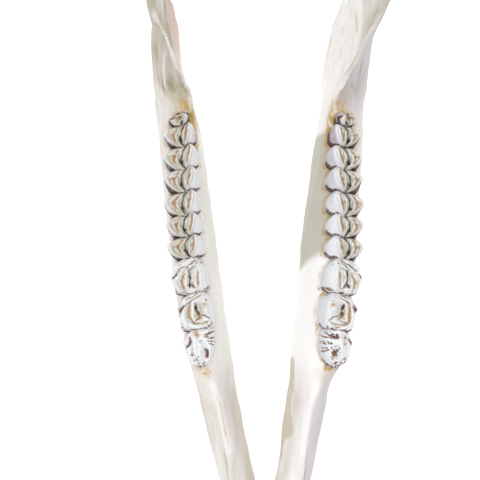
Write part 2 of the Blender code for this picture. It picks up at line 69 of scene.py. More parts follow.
BODY = (
    Section((-212, 36), (-211, 45), (-6, -8, -6), (9, 13, 12), 6, 3.0),
    Section((-203, 30), (-203, 47), (-9, -9, -6), (18, 27, 27), 15, 2.8),
    Section((-188, 22), (-189, 47), (-9, -9, -6), (21, 32, 31), 19, 2.5),
    Section((-170, 11), (-172, 41), (-9, -9, -5), (18, 25.5, 24), 14, 2.4),
    Section((-147, 0.5), (-148, 36.5), (-8, -8, -4), (14, 20.5, 18), 11, 2.4),
    Section((-134, -1.4), (-135, 35), (-5, -5, -1), (16, 21, 18), 12, 2.4),
    Section((-118, -1.4), (-118, 34), (-1, -1, 4), (19, 24, 20), 14.5, 2.4),
    Section((-100, 0.8), (-100, 33.5), (4.5, 3.5, 8), (23, 28, 23.5), 19, 2.3),
    Section((-75, 3), (-75, 35), (11, 9.5, 15.5), (28.5, 34, 29.5), 25, 2.3),
    Section((-42, 5), (-42, 40), (17, 15.5, 23), (37, 42, 36.5), 30, 2.4),
    Section((-13, 6.5), (-13, 49.5), (22, 21, 29), (41.5, 47.5, 45), 37, 2.7),
    Section((5, 6.5), (4, 56.5), (24, 22, 31.5), (42, 51, 52), 42, 3.4),
    Section((40, 5), (40, 61), (30, 27, 34), (46.5, 56.5, 57.5), 45.5, 3.8),
    Section((85, 3), (85, 65), (35, 31.5, 38), (50.5, 61.5, 62.5), 50, 3.8),
    Section((125, 2), (125, 69), (40, 36.5, 40.5), (52.5, 65, 65.5), 52, 3.8),
    Section((154, 3.5), (153, 73), (42.5, 40, 41.5), (55, 68, 66), 52, 3.2),
    Section((180, 6), (172, 82), (46, 45.5, 44.5), (58, 71, 55), 47, 2.6),
    Section((208, 5), (182, 104), (51.5, 54, 50.5), (63, 71.5, 57), 52.5, 2.6),
    Section((228, -3.6), (187, 120), (52, 57.5, 52.5), (65, 72.5, 58.5), 55, 2.6),
    Section((243, -3.6), (192, 131), (52.5, 59, 54), (67, 73, 60), 57, 2.6),
    Section((262, 10), (196, 142), (59, 61.5, 55.5), (72, 71.5, 61.5), 58.5, 2.6),
    Section((274, 40), (199, 151), (61, 62, 56.5), (73, 70, 62.5), 59.5, 2.6),
    Section((272, 80), (201, 156), (60, 62, 57), (71, 68.5, 63), 60, 2.6),
    Section((266, 118), (202, 160), (59, 62, 57.5), (70, 68.5, 63.5), 60.5, 2.6),
    Section((262, 146), (204, 163), (59, 62.5, 58), (69, 67.5, 64), 61, 2.6),
    Section((260, 151), (206, 165), (62, 63.6, 60), (66, 66, 62.5), 61.5, 2.2),
)
BLADE = (
    Section((236, 118), (192, 125), (58, 60, 55), (66, 67, 60), 57, 2.6),
    Section((232, 146), (198, 150), (60, 61, 56.5), (65.5, 66.5, 61.5), 59, 2.6),
    Section((229, 172), (204, 174), (61, 61.5, 58.5), (65.5, 66.5, 63), 61, 2.4),
    Section((229, 195), (209, 197), (62, 62, 60.5), (66, 66.7, 64.5), 62.5, 2.3),
    Section((232, 212), (214.5, 217), (63, 62.6, 61.8), (66, 66.7, 65.5), 63.7, 2.2),
    Section((238.5, 224), (223, 232), (63.4, 63, 62.6), (66, 66.5, 65.6), 64.2, 2.2),
    Section((245.5, 231), (234, 241.5), (63.8, 63.4, 63.4), (65.6, 66.0, 65.4), 64.5, 2.2),
    Section((250.5, 238), (246, 244), (64.3, 64.0, 64.2), (65.3, 65.5, 65.3), 64.8, 2.0),
)
KNUCKLE = (
    Section((266, 100), (238, 104), (61.5, 62.5, 62), (69, 68, 67), 64.5, 2.6),
    Section((266, 135), (241, 137), (58, 60.5, 59), (70, 69.5, 68), 64, 2.5),
    Section((267.5, 156), (245, 158), (53, 54, 54), (72, 71.5, 70), 63, 2.4),
    Section((270.5, 167), (246.5, 169), (45, 44, 46), (76, 76.5, 75), 61, 2.3),
    Section((271.5, 176), (247.5, 178), (40, 39, 40), (79, 80.5, 79), 60, 2.3),
    Section((268, 182.5), (250, 184.5), (42, 40.5, 42), (76, 78, 76), 60, 2.2),
    Section((262.5, 186.5), (255, 187), (46, 45, 46), (72, 73, 72), 60, 2.0),
)
# How many rings these forms have for each millimetre of their length, and a ring's points.
RINGS_PER_MM = 0.8
RING_POINTS = 180

# A lobe of a molar: its share of the tooth's length, how wide it is on its cheek side and on its
# tongue side, how far back its cheek corner stands, from -1 at its front to 1 at its back, how far
# the notches in front of it and behind it are filled, how round its front arm is, and how much of
# its cheek wall and of its tongue wall is stained.
Lobe = namedtuple(
    "Lobe", "share cheek tongue corner front_fill back_fill round_front stained tongue_stained"
)
# A molar: where its front lies, its length and width, how cream its biting face is, how high its
# tongue side and its cheek side stand, and its lobes.
Molar = namedtuple("Molar", "front length width cream tongue_height cheek_height lobes")
MOLARS = {
    "molar_1": Molar(
        front=71.3,
        length=28.8,
        width=24.2,
        cream=0.95,
        tongue_height=17.0,
        cheek_height=14.0,
        lobes=(
            Lobe(0.5, 1.0, 1.0, 0.42, 0, 0, 2.0, 0.7, 0.0),
            Lobe(0.5, 0.98, 0.98, 0.42, 0, 0, 1.8, 0.55, 0.0),
        ),
    ),
    "molar_2": Molar(
        front=99.5,
        length=30.2,
        width=24.0,
        cream=1.0,
        tongue_height=18.0,
        cheek_height=15.0,
        lobes=(
            Lobe(0.5, 1.0, 1.0, 0.42, 0, 0, 2.0, 0.9, 0.08),
            Lobe(0.5, 0.98, 0.99, 0.45, 0, 0, 1.35, 1.0, 0.12),
        ),
    ),
    "molar_3": Molar(
        front=129.2,
        length=35.6,
        width=23.4,
        cream=1.0,
        tongue_height=18.0,
        cheek_height=15.0,
        lobes=(
            Lobe(0.41, 1.0, 0.98, 0.42, 0, 0, 1.9, 1.0, 0.14),
            Lobe(0.38, 0.88, 0.86, 0.35, 0, 0.1, 1.6, 1.0, 0.6),
            Lobe(0.21, 0.60, 0.50, 0.0, 0.2, 0.3, 2.0, 1.0, 1.0),
        ),
    ),
}

# A line on a tooth: what it is, how wide it is and how far it is raised or sunk, in millimetres,
# and the points that it runs through. A point is its share of the way from the front of the lobe
# or tooth to its back, and its place across, from -1 at the tongue to 1 at the cheek. Ridges and
# knobs are raised. The other kinds are sunk, and leave their colour.
Line = namedtuple("Line", "kind width height path")
CRESCENT_LINES = (
    Line(
        "dentine", 0.55, 0.5, ((0.86, 0.22), (0.72, 0.34), (0.60, 0.45), (0.46, 0.44), (0.32, 0.34))
    ),
    Line("dentine", 1.0, 0.4, ((0.68, 0.42), (0.54, 0.44))),
    Line("dentine", 0.6, 0.3, ((0.62, 0.60), (0.60, 0.46))),
    Line(
        "layer", 0.45, 0.3, ((0.96, 0.12), (0.80, 0.40), (0.62, 0.66), (0.42, 0.60), (0.14, 0.24))
    ),
    Line("layer", 0.4, 0.2, ((0.44, 0.42), (0.28, 0.28), (0.10, 0.04))),
    Line(
        "ridge", 0.65, 0.8, ((0.90, 0.06), (0.72, 0.22), (0.56, 0.30), (0.34, 0.20), (0.08, -0.08))
    ),
    Line("dentine", 0.5, 0.5, ((0.90, -0.44), (0.72, -0.40), (0.50, -0.32), (0.26, -0.24))),
    Line("dentine", 0.9, 0.3, ((0.66, -0.36), (0.50, -0.32))),
    Line("layer", 0.4, 0.2, ((0.82, -0.28), (0.52, -0.20), (0.22, -0.16))),
    Line(
        "ridge",
        0.7,
        0.8,
        ((0.98, -0.42), (0.76, -0.17), (0.55, -0.09), (0.33, -0.12), (0.04, -0.34)),
    ),
)
LAST_LOBE_LINES = (
    Line("dentine", 0.7, 0.4, ((0.66, 0.12), (0.56, 0.16))),
    Line("layer", 0.5, 0.4, ((0.25, 0.42), (0.60, 0.50), (0.80, 0.05), (0.62, -0.30))),
    Line("groove", 0.95, 2.4, ((0.42, -0.14), (0.15, -0.12))),
    Line("fold", 0.8, 0.8, ((0.86, -0.60), (0.50, -0.95), (0.10, -0.80))),
    Line("fold", 0.7, 0.6, ((0.80, 0.55), (0.45, 0.92), (0.08, 0.72))),
    Line("dentine", 0.5, 0.4, ((0.40, 0.34), (0.66, 0.38), (0.78, 0.10))),
)
GROOVE_PATH = ((0, -0.22), (0.25, 0.02), (0.42, 0.10), (0.65, 0.06), (0.87, -0.06), (1, -0.22))
GROOVE_LINES = (
    Line("groove", 0.38, 1.8, GROOVE_PATH),
    Line("groove", 1.0, 1.8, ((0.42, 0.09), (0.28, 0.03))),
    Line("layer", 1.2, 0.4, ((0.46, 0.02), (0.26, -0.02))),
)
# The premolars' lines. The first premolar has its own on each side of the jaw.
PREMOLAR_2_LINES = {
    "right": (
        Line("dentine", 1.3, 0.3, ((0.91, 0.22), (0.85, 0.15))),
        Line("gold", 1.8, 0.1, ((0.92, 0.24), (0.83, 0.12))),
        Line("dentine", 0.9, 0.3, ((0.70, -0.02), (0.67, -0.08))),
        Line("ridge", 1.2, 1.4, ((0.97, 0.10), (0.92, -0.30), (0.96, -0.78))),
        Line("ridge", 1.0, 1.0, ((0.86, 0.42), (0.66, 0.36), (0.46, 0.42), (0.28, 0.52))),
        Line("ridge", 2.6, 1.6, ((0.60, 0.02), (0.38, 0.06), (0.22, -0.02))),
        Line("ridge", 0.9, 1.0, ((0.56, -0.66), (0.36, -0.68), (0.18, -0.56))),
        Line("mottle", 1.6, 1.2, ((0.82, -0.36), (0.77, -0.62))),
        Line("fold", 0.6, 1.3, ((0.79, -0.36), (0.84, -0.72), (0.88, -1.0))),
        Line("fold", 0.5, 1.1, ((0.75, -0.50), (0.74, -0.98))),
        Line("mottle", 0.7, 1.0, ((0.69, -0.52), (0.62, -0.96))),
        Line("fold", 0.45, 0.9, ((0.60, -0.56), (0.52, -0.86))),
        Line("fold", 1.15, 2.2, ((0.44, -0.38), (0.32, -0.43), (0.21, -0.40))),
        Line("dentine", 0.8, 0.2, ((0.40, -0.40), (0.25, -0.42))),
        Line("mottle", 1.3, 0.9, ((0.37, 0.42), (0.32, 0.50), (0.31, 0.40))),
        Line("fold", 0.5, 0.8, ((0.31, 0.14), (0.29, 0.12))),
        Line("mottle", 1.1, 0.8, ((0.24, 0.24), (0.13, 0.36))),
        Line("mottle", 1.3, 0.9, ((0.13, 0.26), (0.06, 0.05), (0.07, -0.22))),
        Line("fold", 1.0, 2.0, ((0.82, 0.48), (0.68, 0.62), (0.54, 0.80))),
        Line("dentine", 0.6, 0.2, ((0.70, 0.58), (0.56, 0.78))),
        Line("knob", 1.8, 3.4, ((0.76, 0.86), (0.64, 0.98))),
    ),
    "left": (
        Line("dentine", 1.0, 0.3, ((0.86, 0.30), (0.82, 0.32))),
        Line("dentine", 0.9, 0.3, ((0.68, 0.22), (0.64, 0.26))),
        Line("ridge", 1.2, 1.3, ((0.97, 0.10), (0.93, -0.30), (0.95, -0.80))),
        Line("ridge", 2.4, 1.6, ((0.62, 0.22), (0.40, 0.26), (0.24, 0.10))),
        Line("ridge", 0.9, 1.0, ((0.30, -0.66), (0.16, -0.46), (0.13, -0.12))),
        Line("fold", 1.15, 1.8, ((0.80, -0.12), (0.79, -0.34), (0.82, -0.52))),
        Line("mottle", 2.0, 1.2, ((0.86, -0.16), (0.84, -0.40), (0.88, -0.66))),
        Line("fold", 0.5, 1.2, ((0.79, -0.40), (0.91, -0.90))),
        Line("fold", 0.5, 1.2, ((0.74, -0.46), (0.78, -0.98))),
        Line("mottle", 0.8, 1.1, ((0.69, -0.48), (0.66, -1.0))),
        Line("mottle", 0.8, 1.1, ((0.61, -0.40), (0.56, -1.0))),
        Line("mottle", 0.7, 1.0, ((0.53, -0.36), (0.47, -0.94))),
        Line("mottle", 0.7, 0.9, ((0.45, -0.56), (0.38, -0.92))),
        Line("mottle", 2.6, 1.3, ((0.52, -0.12), (0.42, -0.26), (0.30, -0.34))),
        Line("fold", 1.3, 1.6, ((0.46, -0.22), (0.38, -0.30), (0.28, -0.34))),
        Line("dentine", 1.2, 0.2, ((0.42, -0.18), (0.30, -0.28))),
        Line("mottle", 2.2, 1.1, ((0.16, -0.44), (0.09, -0.08), (0.11, 0.20), (0.26, 0.62))),
        Line("fold", 0.8, 1.8, ((0.82, 0.54), (0.70, 0.72), (0.56, 0.90))),
        Line("knob", 1.8, 3.2, ((0.74, 0.88), (0.64, 0.98))),
    ),
}
PREMOLAR_3_LINES = (
    Line(
        "dentine",
        0.6,
        0.5,
        ((0.76, 0.24), (0.62, 0.38), (0.46, 0.43), (0.32, 0.35), (0.21, 0.15), (0.17, -0.10)),
    ),
    Line("layer", 0.6, 0.4, ((0.16, -0.05), (0.22, -0.44), (0.31, -0.70))),
    Line("dentine", 1.0, 0.4, ((0.72, -0.52), (0.66, -0.50))),
    Line("gold", 2.4, 1.4, ((0.44, -0.02), (0.33, -0.10))),
    Line("gold", 0.8, 0.2, ((0.66, 0.34), (0.44, 0.38))),
    Line("layer", 1.7, 0.6, ((0.72, 0.02), (0.56, 0.04), (0.42, -0.04))),
    Line("gold", 1.2, 0.2, ((0.74, -0.52), (0.64, -0.50))),
    Line("groove", 0.95, 2.2, ((0.74, 0.04), (0.58, 0.04), (0.44, -0.02), (0.34, -0.14))),
    Line("groove", 0.9, 1.6, ((0.48, -0.02), (0.42, -0.06))),
    Line("groove", 0.9, 1.4, ((0.66, 0.02), (0.60, 0.05))),
    Line("groove", 0.4, 1.0, ((0.34, -0.16), (0.29, 0.04), (0.22, 0.24))),
    Line("fold", 0.4, 1.2, ((0.40, -0.20), (0.38, -0.42), (0.31, -0.64))),
    Line("ridge", 0.8, 1.2, ((0.82, 0.12), (0.60, 0.18), (0.43, 0.24), (0.31, 0.18), (0.25, 0.0))),
    Line(
        "ridge",
        1.3,
        1.5,
        ((0.70, 0.60), (0.45, 0.68), (0.24, 0.56), (0.09, 0.16), (0.08, -0.35), (0.18, -0.70)),
    ),
    Line("ridge", 1.7, 1.6, ((0.80, -0.44), (0.60, -0.42), (0.50, -0.46))),
    Line("ridge", 0.9, 1.2, ((0.29, -0.20), (0.24, -0.52))),
    Line("ridge", 0.55, 0.8, ((0.74, 0.74), (0.82, 0.36), (0.91, 0.0), (0.98, -0.36))),
    Line("layer", 0.5, 1.0, ((0.71, 0.60), (0.79, 0.20), (0.87, -0.06), (0.95, -0.38))),
    Line("layer", 0.4, 0.8, ((0.84, 0.56), (0.91, 0.16), (0.99, -0.22))),
    Line("fold", 0.3, 0.5, ((0.84, -0.52), (0.79, -0.62))),
    Line("fold", 1.0, 2.0, ((0.70, 0.64), (0.56, 0.82), (0.42, 0.96))),
    Line("dentine", 0.6, 0.2, ((0.64, 0.70), (0.50, 0.88))),
    Line("mottle", 1.9, 0.9, ((0.20, 0.90), (0.07, 0.82), (0.02, 0.40))),
    Line("mottle", 1.7, 0.9, ((0.04, 0.10), (0.06, -0.36), (0.13, -0.76))),
    Line("fold", 0.7, 0.9, ((0.02, 0.40), (0.02, -0.10), (0.05, -0.60))),
    Line("knob", 1.9, 3.6, ((0.72, 0.90), (0.60, 0.98))),
)
PREMOLAR_4_LINES = (
    Line(
        "dentine", 0.75, 0.5, ((0.60, 0.24), (0.48, 0.41), (0.37, 0.53), (0.28, 0.52), (0.19, 0.46))
    ),
    Line("layer", 0.5, 0.4, ((0.21, 0.48), (0.10, 0.33), (0.05, 0.0), (0.07, -0.36))),
    Line("layer", 0.4, 0.2, ((0.64, 0.36), (0.48, 0.64), (0.30, 0.70), (0.16, 0.56))),
    Line(
        "ridge",
        0.7,
        1.2,
        ((0.66, 0.16), (0.45, 0.28), (0.24, 0.34), (0.14, 0.20), (0.13, -0.12), (0.22, -0.30)),
    ),
    Line("groove", 0.5, 2.2, ((0.70, 0.0), (0.45, 0.05), (0.32, 0.10), (0.21, 0.18))),
    Line("groove", 1.1, 2.0, ((0.28, 0.14), (0.20, 0.12))),
    Line("layer", 0.8, 0.8, ((0.28, 0.02), (0.18, -0.12))),
    Line("groove", 0.3, 1.0, ((0.30, 0.06), (0.17, -0.08))),
    Line("ridge", 0.8, 1.2, ((0.66, -0.14), (0.45, -0.09), (0.28, -0.16), (0.18, -0.24))),
    Line(
        "dentine",
        0.45,
        0.5,
        ((0.66, -0.48), (0.57, -0.40), (0.45, -0.34), (0.30, -0.33), (0.18, -0.27)),
    ),
    Line(
        "layer", 0.6, 1.3, ((0.65, 0.76), (0.72, 0.38), (0.79, 0.08), (0.90, -0.15), (0.97, -0.31))
    ),
    Line("groove", 0.3, 0.9, ((0.68, 0.24), (0.77, 0.0), (0.88, -0.26), (0.94, -0.36))),
    Line("layer", 0.4, 0.8, ((0.66, 0.03), (0.71, -0.14), (0.77, -0.34))),
    Line("ridge", 0.5, 0.9, ((0.70, 0.50), (0.76, 0.18), (0.84, -0.08), (0.95, -0.34))),
    Line("ridge", 0.55, 0.9, ((0.75, 0.80), (0.82, 0.40), (0.92, 0.0), (1.0, -0.24))),
    Line("ridge", 0.45, 0.7, ((0.67, 0.12), (0.74, -0.08), (0.84, -0.32), (0.93, -0.50))),
    Line("dentine", 0.55, 0.4, ((0.91, -0.50), (0.84, -0.42))),
    Line("fold", 0.7, 1.3, ((0.63, 0.64), (0.58, 0.78), (0.50, 0.94))),
    Line("fold", 0.9, 0.8, ((0.07, -0.58), (0.15, -0.92))),
    Line("mottle", 1.3, 0.6, ((0.03, -0.05), (0.05, -0.50))),
    Line("fold", 0.6, 0.6, ((0.01, -0.10), (0.03, -0.55))),
    Line("mottle", 2.0, 0.8, ((0.16, 0.92), (0.05, 0.80), (0.0, 0.50))),
    Line("fold", 0.3, 0.4, ((0.84, -0.66), (0.80, -0.74))),
)

# A premolar, given as a molar is, but for its rows. They give, at shares of its length, how far
# its tongue-side neck and rim, its groove, and its cheek-side rim and neck lie across, and how
# high its tongue-side rim, its groove and its cheek-side rim stand.
Premolar = namedtuple("Premolar", "front length width cream rows lines")
PREMOLARS = {
    "premolar_2": Premolar(
        front=0.3,
        length=24.6,
        width=21.6,
        cream=0.1,
        rows=(
            (0.00, 0.26, 0.14, -0.02, 0.12, 0.26, 6.5, 6.2, 6.5),
            (0.06, 0.50, 0.34, 0.00, 0.34, 0.50, 9.6, 9.4, 9.6),
            (0.18, 0.74, 0.48, 0.02, 0.50, 0.74, 11.2, 12.8, 11.2),
            (0.40, 0.92, 0.60, 0.04, 0.64, 0.92, 12.0, 15.2, 12.0),
            (0.60, 1.00, 0.64, 0.04, 0.66, 0.95, 12.4, 14.8, 12.0),
            (0.78, 1.00, 0.66, 0.02, 0.58, 0.88, 12.6, 13.6, 11.4),
            (0.90, 0.96, 0.62, 0.00, 0.50, 0.78, 12.6, 12.6, 11.0),
            (1.00, 0.80, 0.50, 0.00, 0.36, 0.62, 11.2, 11.0, 9.5),
        ),
        lines=PREMOLAR_2_LINES,
    ),
    "premolar_3": Premolar(
        front=24.3,
        length=24.7,
        width=24.3,
        cream=0.4,
        rows=(
            (0.00, 0.62, 0.40, -0.05, 0.35, 0.80, 10.0, 9.8, 9.5),
            (0.07, 0.86, 0.62, -0.08, 0.60, 0.93, 12.6, 11.8, 12.0),
            (0.22, 0.97, 0.66, -0.10, 0.70, 0.95, 14.0, 12.6, 12.9),
            (0.40, 1.00, 0.64, -0.12, 0.76, 0.98, 15.2, 12.2, 13.3),
            (0.55, 1.00, 0.60, -0.12, 0.72, 0.98, 15.9, 12.3, 13.2),
            (0.70, 0.98, 0.58, -0.10, 0.58, 0.90, 16.0, 12.9, 12.8),
            (0.80, 0.93, 0.58, -0.12, 0.52, 0.82, 16.0, 13.4, 12.5),
            (0.90, 0.80, 0.52, -0.20, 0.38, 0.68, 15.0, 13.2, 12.0),
            (1.00, 0.58, 0.46, -0.35, 0.05, 0.45, 13.0, 12.4, 11.0),
        ),
        lines=PREMOLAR_3_LINES,
    ),
    "premolar_4": Premolar(
        front=48.4,
        length=23.4,
        width=24.6,
        cream=0.6,
        rows=(
            (0.00, 0.60, 0.34, -0.05, 0.30, 0.80, 10.5, 10.2, 10.5),
            (0.07, 0.88, 0.50, -0.05, 0.56, 0.95, 13.4, 12.0, 12.6),
            (0.24, 0.98, 0.56, 0.04, 0.80, 0.93, 16.6, 11.6, 14.0),
            (0.45, 1.00, 0.58, 0.06, 0.97, 1.00, 17.5, 11.0, 14.5),
            (0.58, 0.98, 0.56, 0.04, 0.90, 0.97, 17.3, 11.4, 14.0),
            (0.66, 0.93, 0.54, 0.00, 0.66, 0.84, 16.8, 12.2, 12.6),
            (0.75, 0.84, 0.52, -0.08, 0.80, 0.90, 16.2, 12.6, 12.8),
            (0.88, 0.68, 0.50, -0.18, 0.54, 0.74, 15.2, 12.8, 12.4),
            (1.00, 0.46, 0.42, -0.30, 0.16, 0.46, 12.6, 11.8, 11.0),
        ),
        lines=PREMOLAR_4_LINES,
    ),
}
CHEEK_TEETH = {**PREMOLARS, **MOLARS}

# At places along the jaw, how far the middle of the tooth row lies from the jaw's middle plane,
# and how high the bone stands at the row.
ROW_Y = (0, 12, 37, 59, 85, 114, 140, 153, 166)
ROW_X = (42.3, 43.0, 44.8, 48.3, 51.1, 52.4, 52.4, 52.8, 52.6)
SOCKET_Y = (0, 40, 85, 125, 155, 170)
SOCKET_Z = (55.5, 60.5, 64.5, 68.5, 72, 74)
# How deep a crown goes down into the bone, and how wide it is there as a share of its neck.
ROOT_DEPTH = 9.0
ROOT_SHARE = 0.62
# How far a crown's tongue side is set back and its cheek side set forward, and how far a molar's
# tongue cusps lean back.
TONGUE_SET_BACK = 1.3
TONGUE_BACK_LEAN = 1.9
# How fine a crown is: the step along it, its points across, and the rings that close each end.
CROWN_STEP = 0.33
CROWN_POINTS = 160
END_RINGS = 6
# How far a crown's end bulges next to another tooth, and at the front and the back of the row.
END_BULGE = 0.6
ROW_FRONT_BULGE = 1.3
ROW_BACK_BULGE = 1.0
# How often a crown's heights are evened out, to see what stands above them or lies below.
EVEN_ROUNDS = 12

# The edges of a molar's lobe, as shares of its half width, at its corner, its front end and its
# back end, and how round they are. How round the cheek rim's front is, its lobe says.
Edge = namedtuple("Edge", "corner front back square_front square_back")
CHEEK_RIM = Edge(0.93, 0.08, 0.18, None, 2.0)
CHEEK_NECK = Edge(0.97, 0.64, 0.64, 2.0, 2.0)
TONGUE_RIM = Edge(0.60, 0.30, 0.46, 1.7, 2.2)
TONGUE_NECK = Edge(1.0, 0.70, 0.56, 6.0, 1.8)
# Where the corner of the tongue rim stands, as a lobe's cheek corner does.
TONGUE_CORNER = 0.4
# How far the walls swell between neck and rim, as shares of the half width.
CHEEK_BULGE = 0.08
TONGUE_BULGE = 0.06
# How far a lobe's rims drop towards its ends, and how far the groove lies below the lower rim.
RIM_DROP = 4.2
GROOVE_DEPTH = 4.5
# How far the middle of each biting face is moved towards the cheek, as a share of the half width,
# and how much of its cream each side keeps.
TILT = {"left": 0.19, "right": -0.04}
CREAM_OF_SIDE = {"left": 0.75, "right": 1.0}
# How much each point of a line is moved at random, as shares along and across, and how far a
# slow wave bends the lines, in millimetres.
SHAKE_ALONG, SHAKE_ACROSS = 0.018, 0.03
WOBBLE = 0.28
# How many layers of enamel show between groove and rim, and which marks also cut into the walls.
LAYERS = 4
SUNK_ON_WALLS = ("groove", "stain", "rust")

# Where the points of a crown's profile lie along it, from the tongue-side root to the other one.
PROFILE_KNOTS = (0, 0.10, 0.19, 0.30, 0.40, 0.50, 0.60, 0.67, 0.74, 0.84, 0.92, 1.0)
TONGUE_RIM_AT, GROOVE_AT, CHEEK_RIM_AT = 0.30, 0.50, 0.74

# At places along the jaw, how far the left half is moved out at its top and at its foot, the two
# levels between which one goes over into the other, and how far forward the left half stands.
LEAN_Y = (-130, -75, -42, -13, 5, 40, 85, 125, 154, 172, 186, 203, 214, 224, 236, 246, 277)
LEAN_TOP = (0, 2.4, 1.5, 1.5, 4.4, 3.7, 1.8, 0.6, 0, 0.6, 1.2, 1.4, 1.4, 1.2, 0.9, 0.5, 0)
LEAN_FOOT = (0, 0.1, -2, -3, -3.5, -3.8, -4, -3.3, -2, -2.6, -4.4, -8, -6.6, -4.2, -2, 0.8, 1.5)
LEAN_LEVELS = (5, 75)
LEFT_FORWARD = 2.0

# The front teeth from the middle outwards: their widths and lengths, the space before the first
# and between two of them, how thick they are, and how steeply they rise, in degrees.
FRONT_WIDTHS = (17.5, 16.0, 14.0, 19.5)
FRONT_LENGTHS = (22.0, 21.0, 19.5, 17.5)
FRONT_START = 0.2
FRONT_SPACE = 0.3
FRONT_THICKNESS = 9.0
FRONT_RISE = 32.0
# The arcs of their sockets and of their tips: the half widths across and along of two quarter
# ellipses, their common middle, and how high the sockets stand.
ARCADE_CENTRE_Y = -184.0
SOCKET_ARC = (25.0, 24.0)
TIP_ARC = (38.0, 46.0)
SOCKET_ARC_Z = 44.0
# How deep the notch between the canine's two lobes is.
CANINE_NOTCH = 3.5
# How many rings a front tooth has from side to side, and the points of a ring.
FRONT_RINGS = 47
FRONT_POINTS = 90
# A front tooth's outline from the side: at shares of its length, its share of the width, and how
# far it stands out towards the lips, or behind them where it is negative, in thicknesses.
FRONT_OUTLINE = (
    (-0.5, 0.30, 0.30),
    (0.0, 0.46, 0.48),
    (0.3, 0.64, 0.46),
    (0.65, 0.90, 0.34),
    (0.92, 1.0, 0.16),
    (1.0, 0.98, 0.04),
    (0.96, 0.98, -0.06),
    (0.65, 0.88, -0.10),
    (0.3, 0.62, -0.28),
    (0.0, 0.46, -0.46),
    (-0.5, 0.30, -0.30),
)

# The view: straight down from over the tooth row, a little to the animal's right. The level that
# the photo's scale is taken at, how wide the picture is there, where its middle lies, where the
# camera stands, how far it is turned, in degrees, and the width of its sensor.
TOOTH_PLANE = 82.0
PHOTO_MM = 309.6
PHOTO_CENTRE = (-15.5, 83.5)
CAMERA_X = -26.0
CAMERA_TURN = -1.0
SENSOR = 36.0
# The floor's half width and its level, in metres.
FLOOR_HALF = 4.0
FLOOR_LEVEL = -0.0003

# Where the random draws of each half's bone and teeth start.
BONE_SEEDS = {"left": 11, "right": 41}
TOOTH_SEEDS = {"left": 101, "right": 201}


class JawSizes(bpy.types.PropertyGroup):
    """Sizes that set how fine the jaw is made and where the camera stands."""

    bone_step: bpy.props.FloatProperty(
        name="Bone step",
        description="Side of the small squares that the bone's surface is made of",
        default=1.15 * MM,
        min=0.8 * MM,
        max=4 * MM,
        precision=5,
        unit="LENGTH",
    )
    relief: bpy.props.FloatProperty(
        name="Relief",
        description="How strongly the small unevenness of bone and teeth shows",
        default=1.0,
        min=0.0,
        max=2.0,
        subtype="FACTOR",
    )
    camera_height: bpy.props.FloatProperty(
        name="Camera height",
        description="How far the camera stands over the biting faces",
        default=0.7,
        unit="LENGTH",
    )


def colour(name, description, default):
    """A colour property."""
    return bpy.props.FloatVectorProperty(
        name=name, description=description, default=default, size=3, min=0, max=1, subtype="COLOR"
    )


class JawColours(bpy.types.PropertyGroup):
    """Colours of bone and teeth."""

    bone: colour("Bone", "Dry bone", (0.89, 0.86, 0.83))
    bone_rose: colour("Bone, rosy", "The faint rosy tint of the smooth faces", (0.68, 0.50, 0.48))
    # Olive: painted shade in the hollows and creases, and the bone's own colour in its fibres and
    # pores.
    bone_shade: colour("Bone, olive", "Olive tint in the hollows", (0.38, 0.33, 0.21))
    # A painted shadow, in grey olive, on one inner face.
    bone_painted_shadow: colour("Bone, dull", "Grey-olive patina of one inner face", (0.52, 0.51, 0.43))
    # Painted shade, in beige, low on the bar's inner face.
    bone_bar_shade: colour("Bone, beige", "Beige patches of the bar's inner face", (0.62, 0.55, 0.44))
    # Painted shade, in lilac grey, on the outer faces.
    bone_lilac_shade: colour("Bone, lilac", "Lilac grey of the outer faces", (0.58, 0.52, 0.57))
    # Painted light, on the faces that the light falls on most.
    bone_pale: colour("Bone, pale", "The palest faces of the bone", (0.97, 0.96, 0.945))
    socket: colour("Socket", "Golden stain round the teeth", (0.56, 0.36, 0.11))
    enamel: colour("Enamel", "White enamel", (0.80, 0.81, 0.84))
    enamel_cream: colour("Enamel, cream", "Cream tint of the biting faces", (0.56, 0.55, 0.44))
    # The crests' white is partly the enamel's own and partly a painted highlight.
    crest: colour("Enamel, crests", "White crests of the enamel", (0.90, 0.90, 0.89))
    # Painted shade, in lilac grey, on the walls down by the bone.
    enamel_wall_shade: colour("Enamel, walls", "Lilac grey of the walls by the bone", (0.55, 0.52, 0.56))
    # Painted shade in the enamel's hollows.
    cavity_shade: colour("Enamel, hollows", "Olive brown of the enamel's hollows", (0.27, 0.22, 0.16))
    dentine: colour("Dentine", "Brown dentine", (0.38, 0.215, 0.105))
    layer: colour("Enamel, layers", "Olive-gold layers beside the ridges", (0.41, 0.34, 0.21))
    groove: colour("Groove", "Dark grooves of the biting faces", (0.06, 0.048, 0.028))
    # Brown stain; in the notches between lobes it is also painted shade.
    stain: colour("Stain", "Brown stain on the walls", (0.105, 0.046, 0.036))
    rust: colour("Rust", "Red-brown pits and folds of the premolars", (0.23, 0.115, 0.08))
    floor: colour("Floor", "Studio floor", (0.62, 0.62, 0.62))


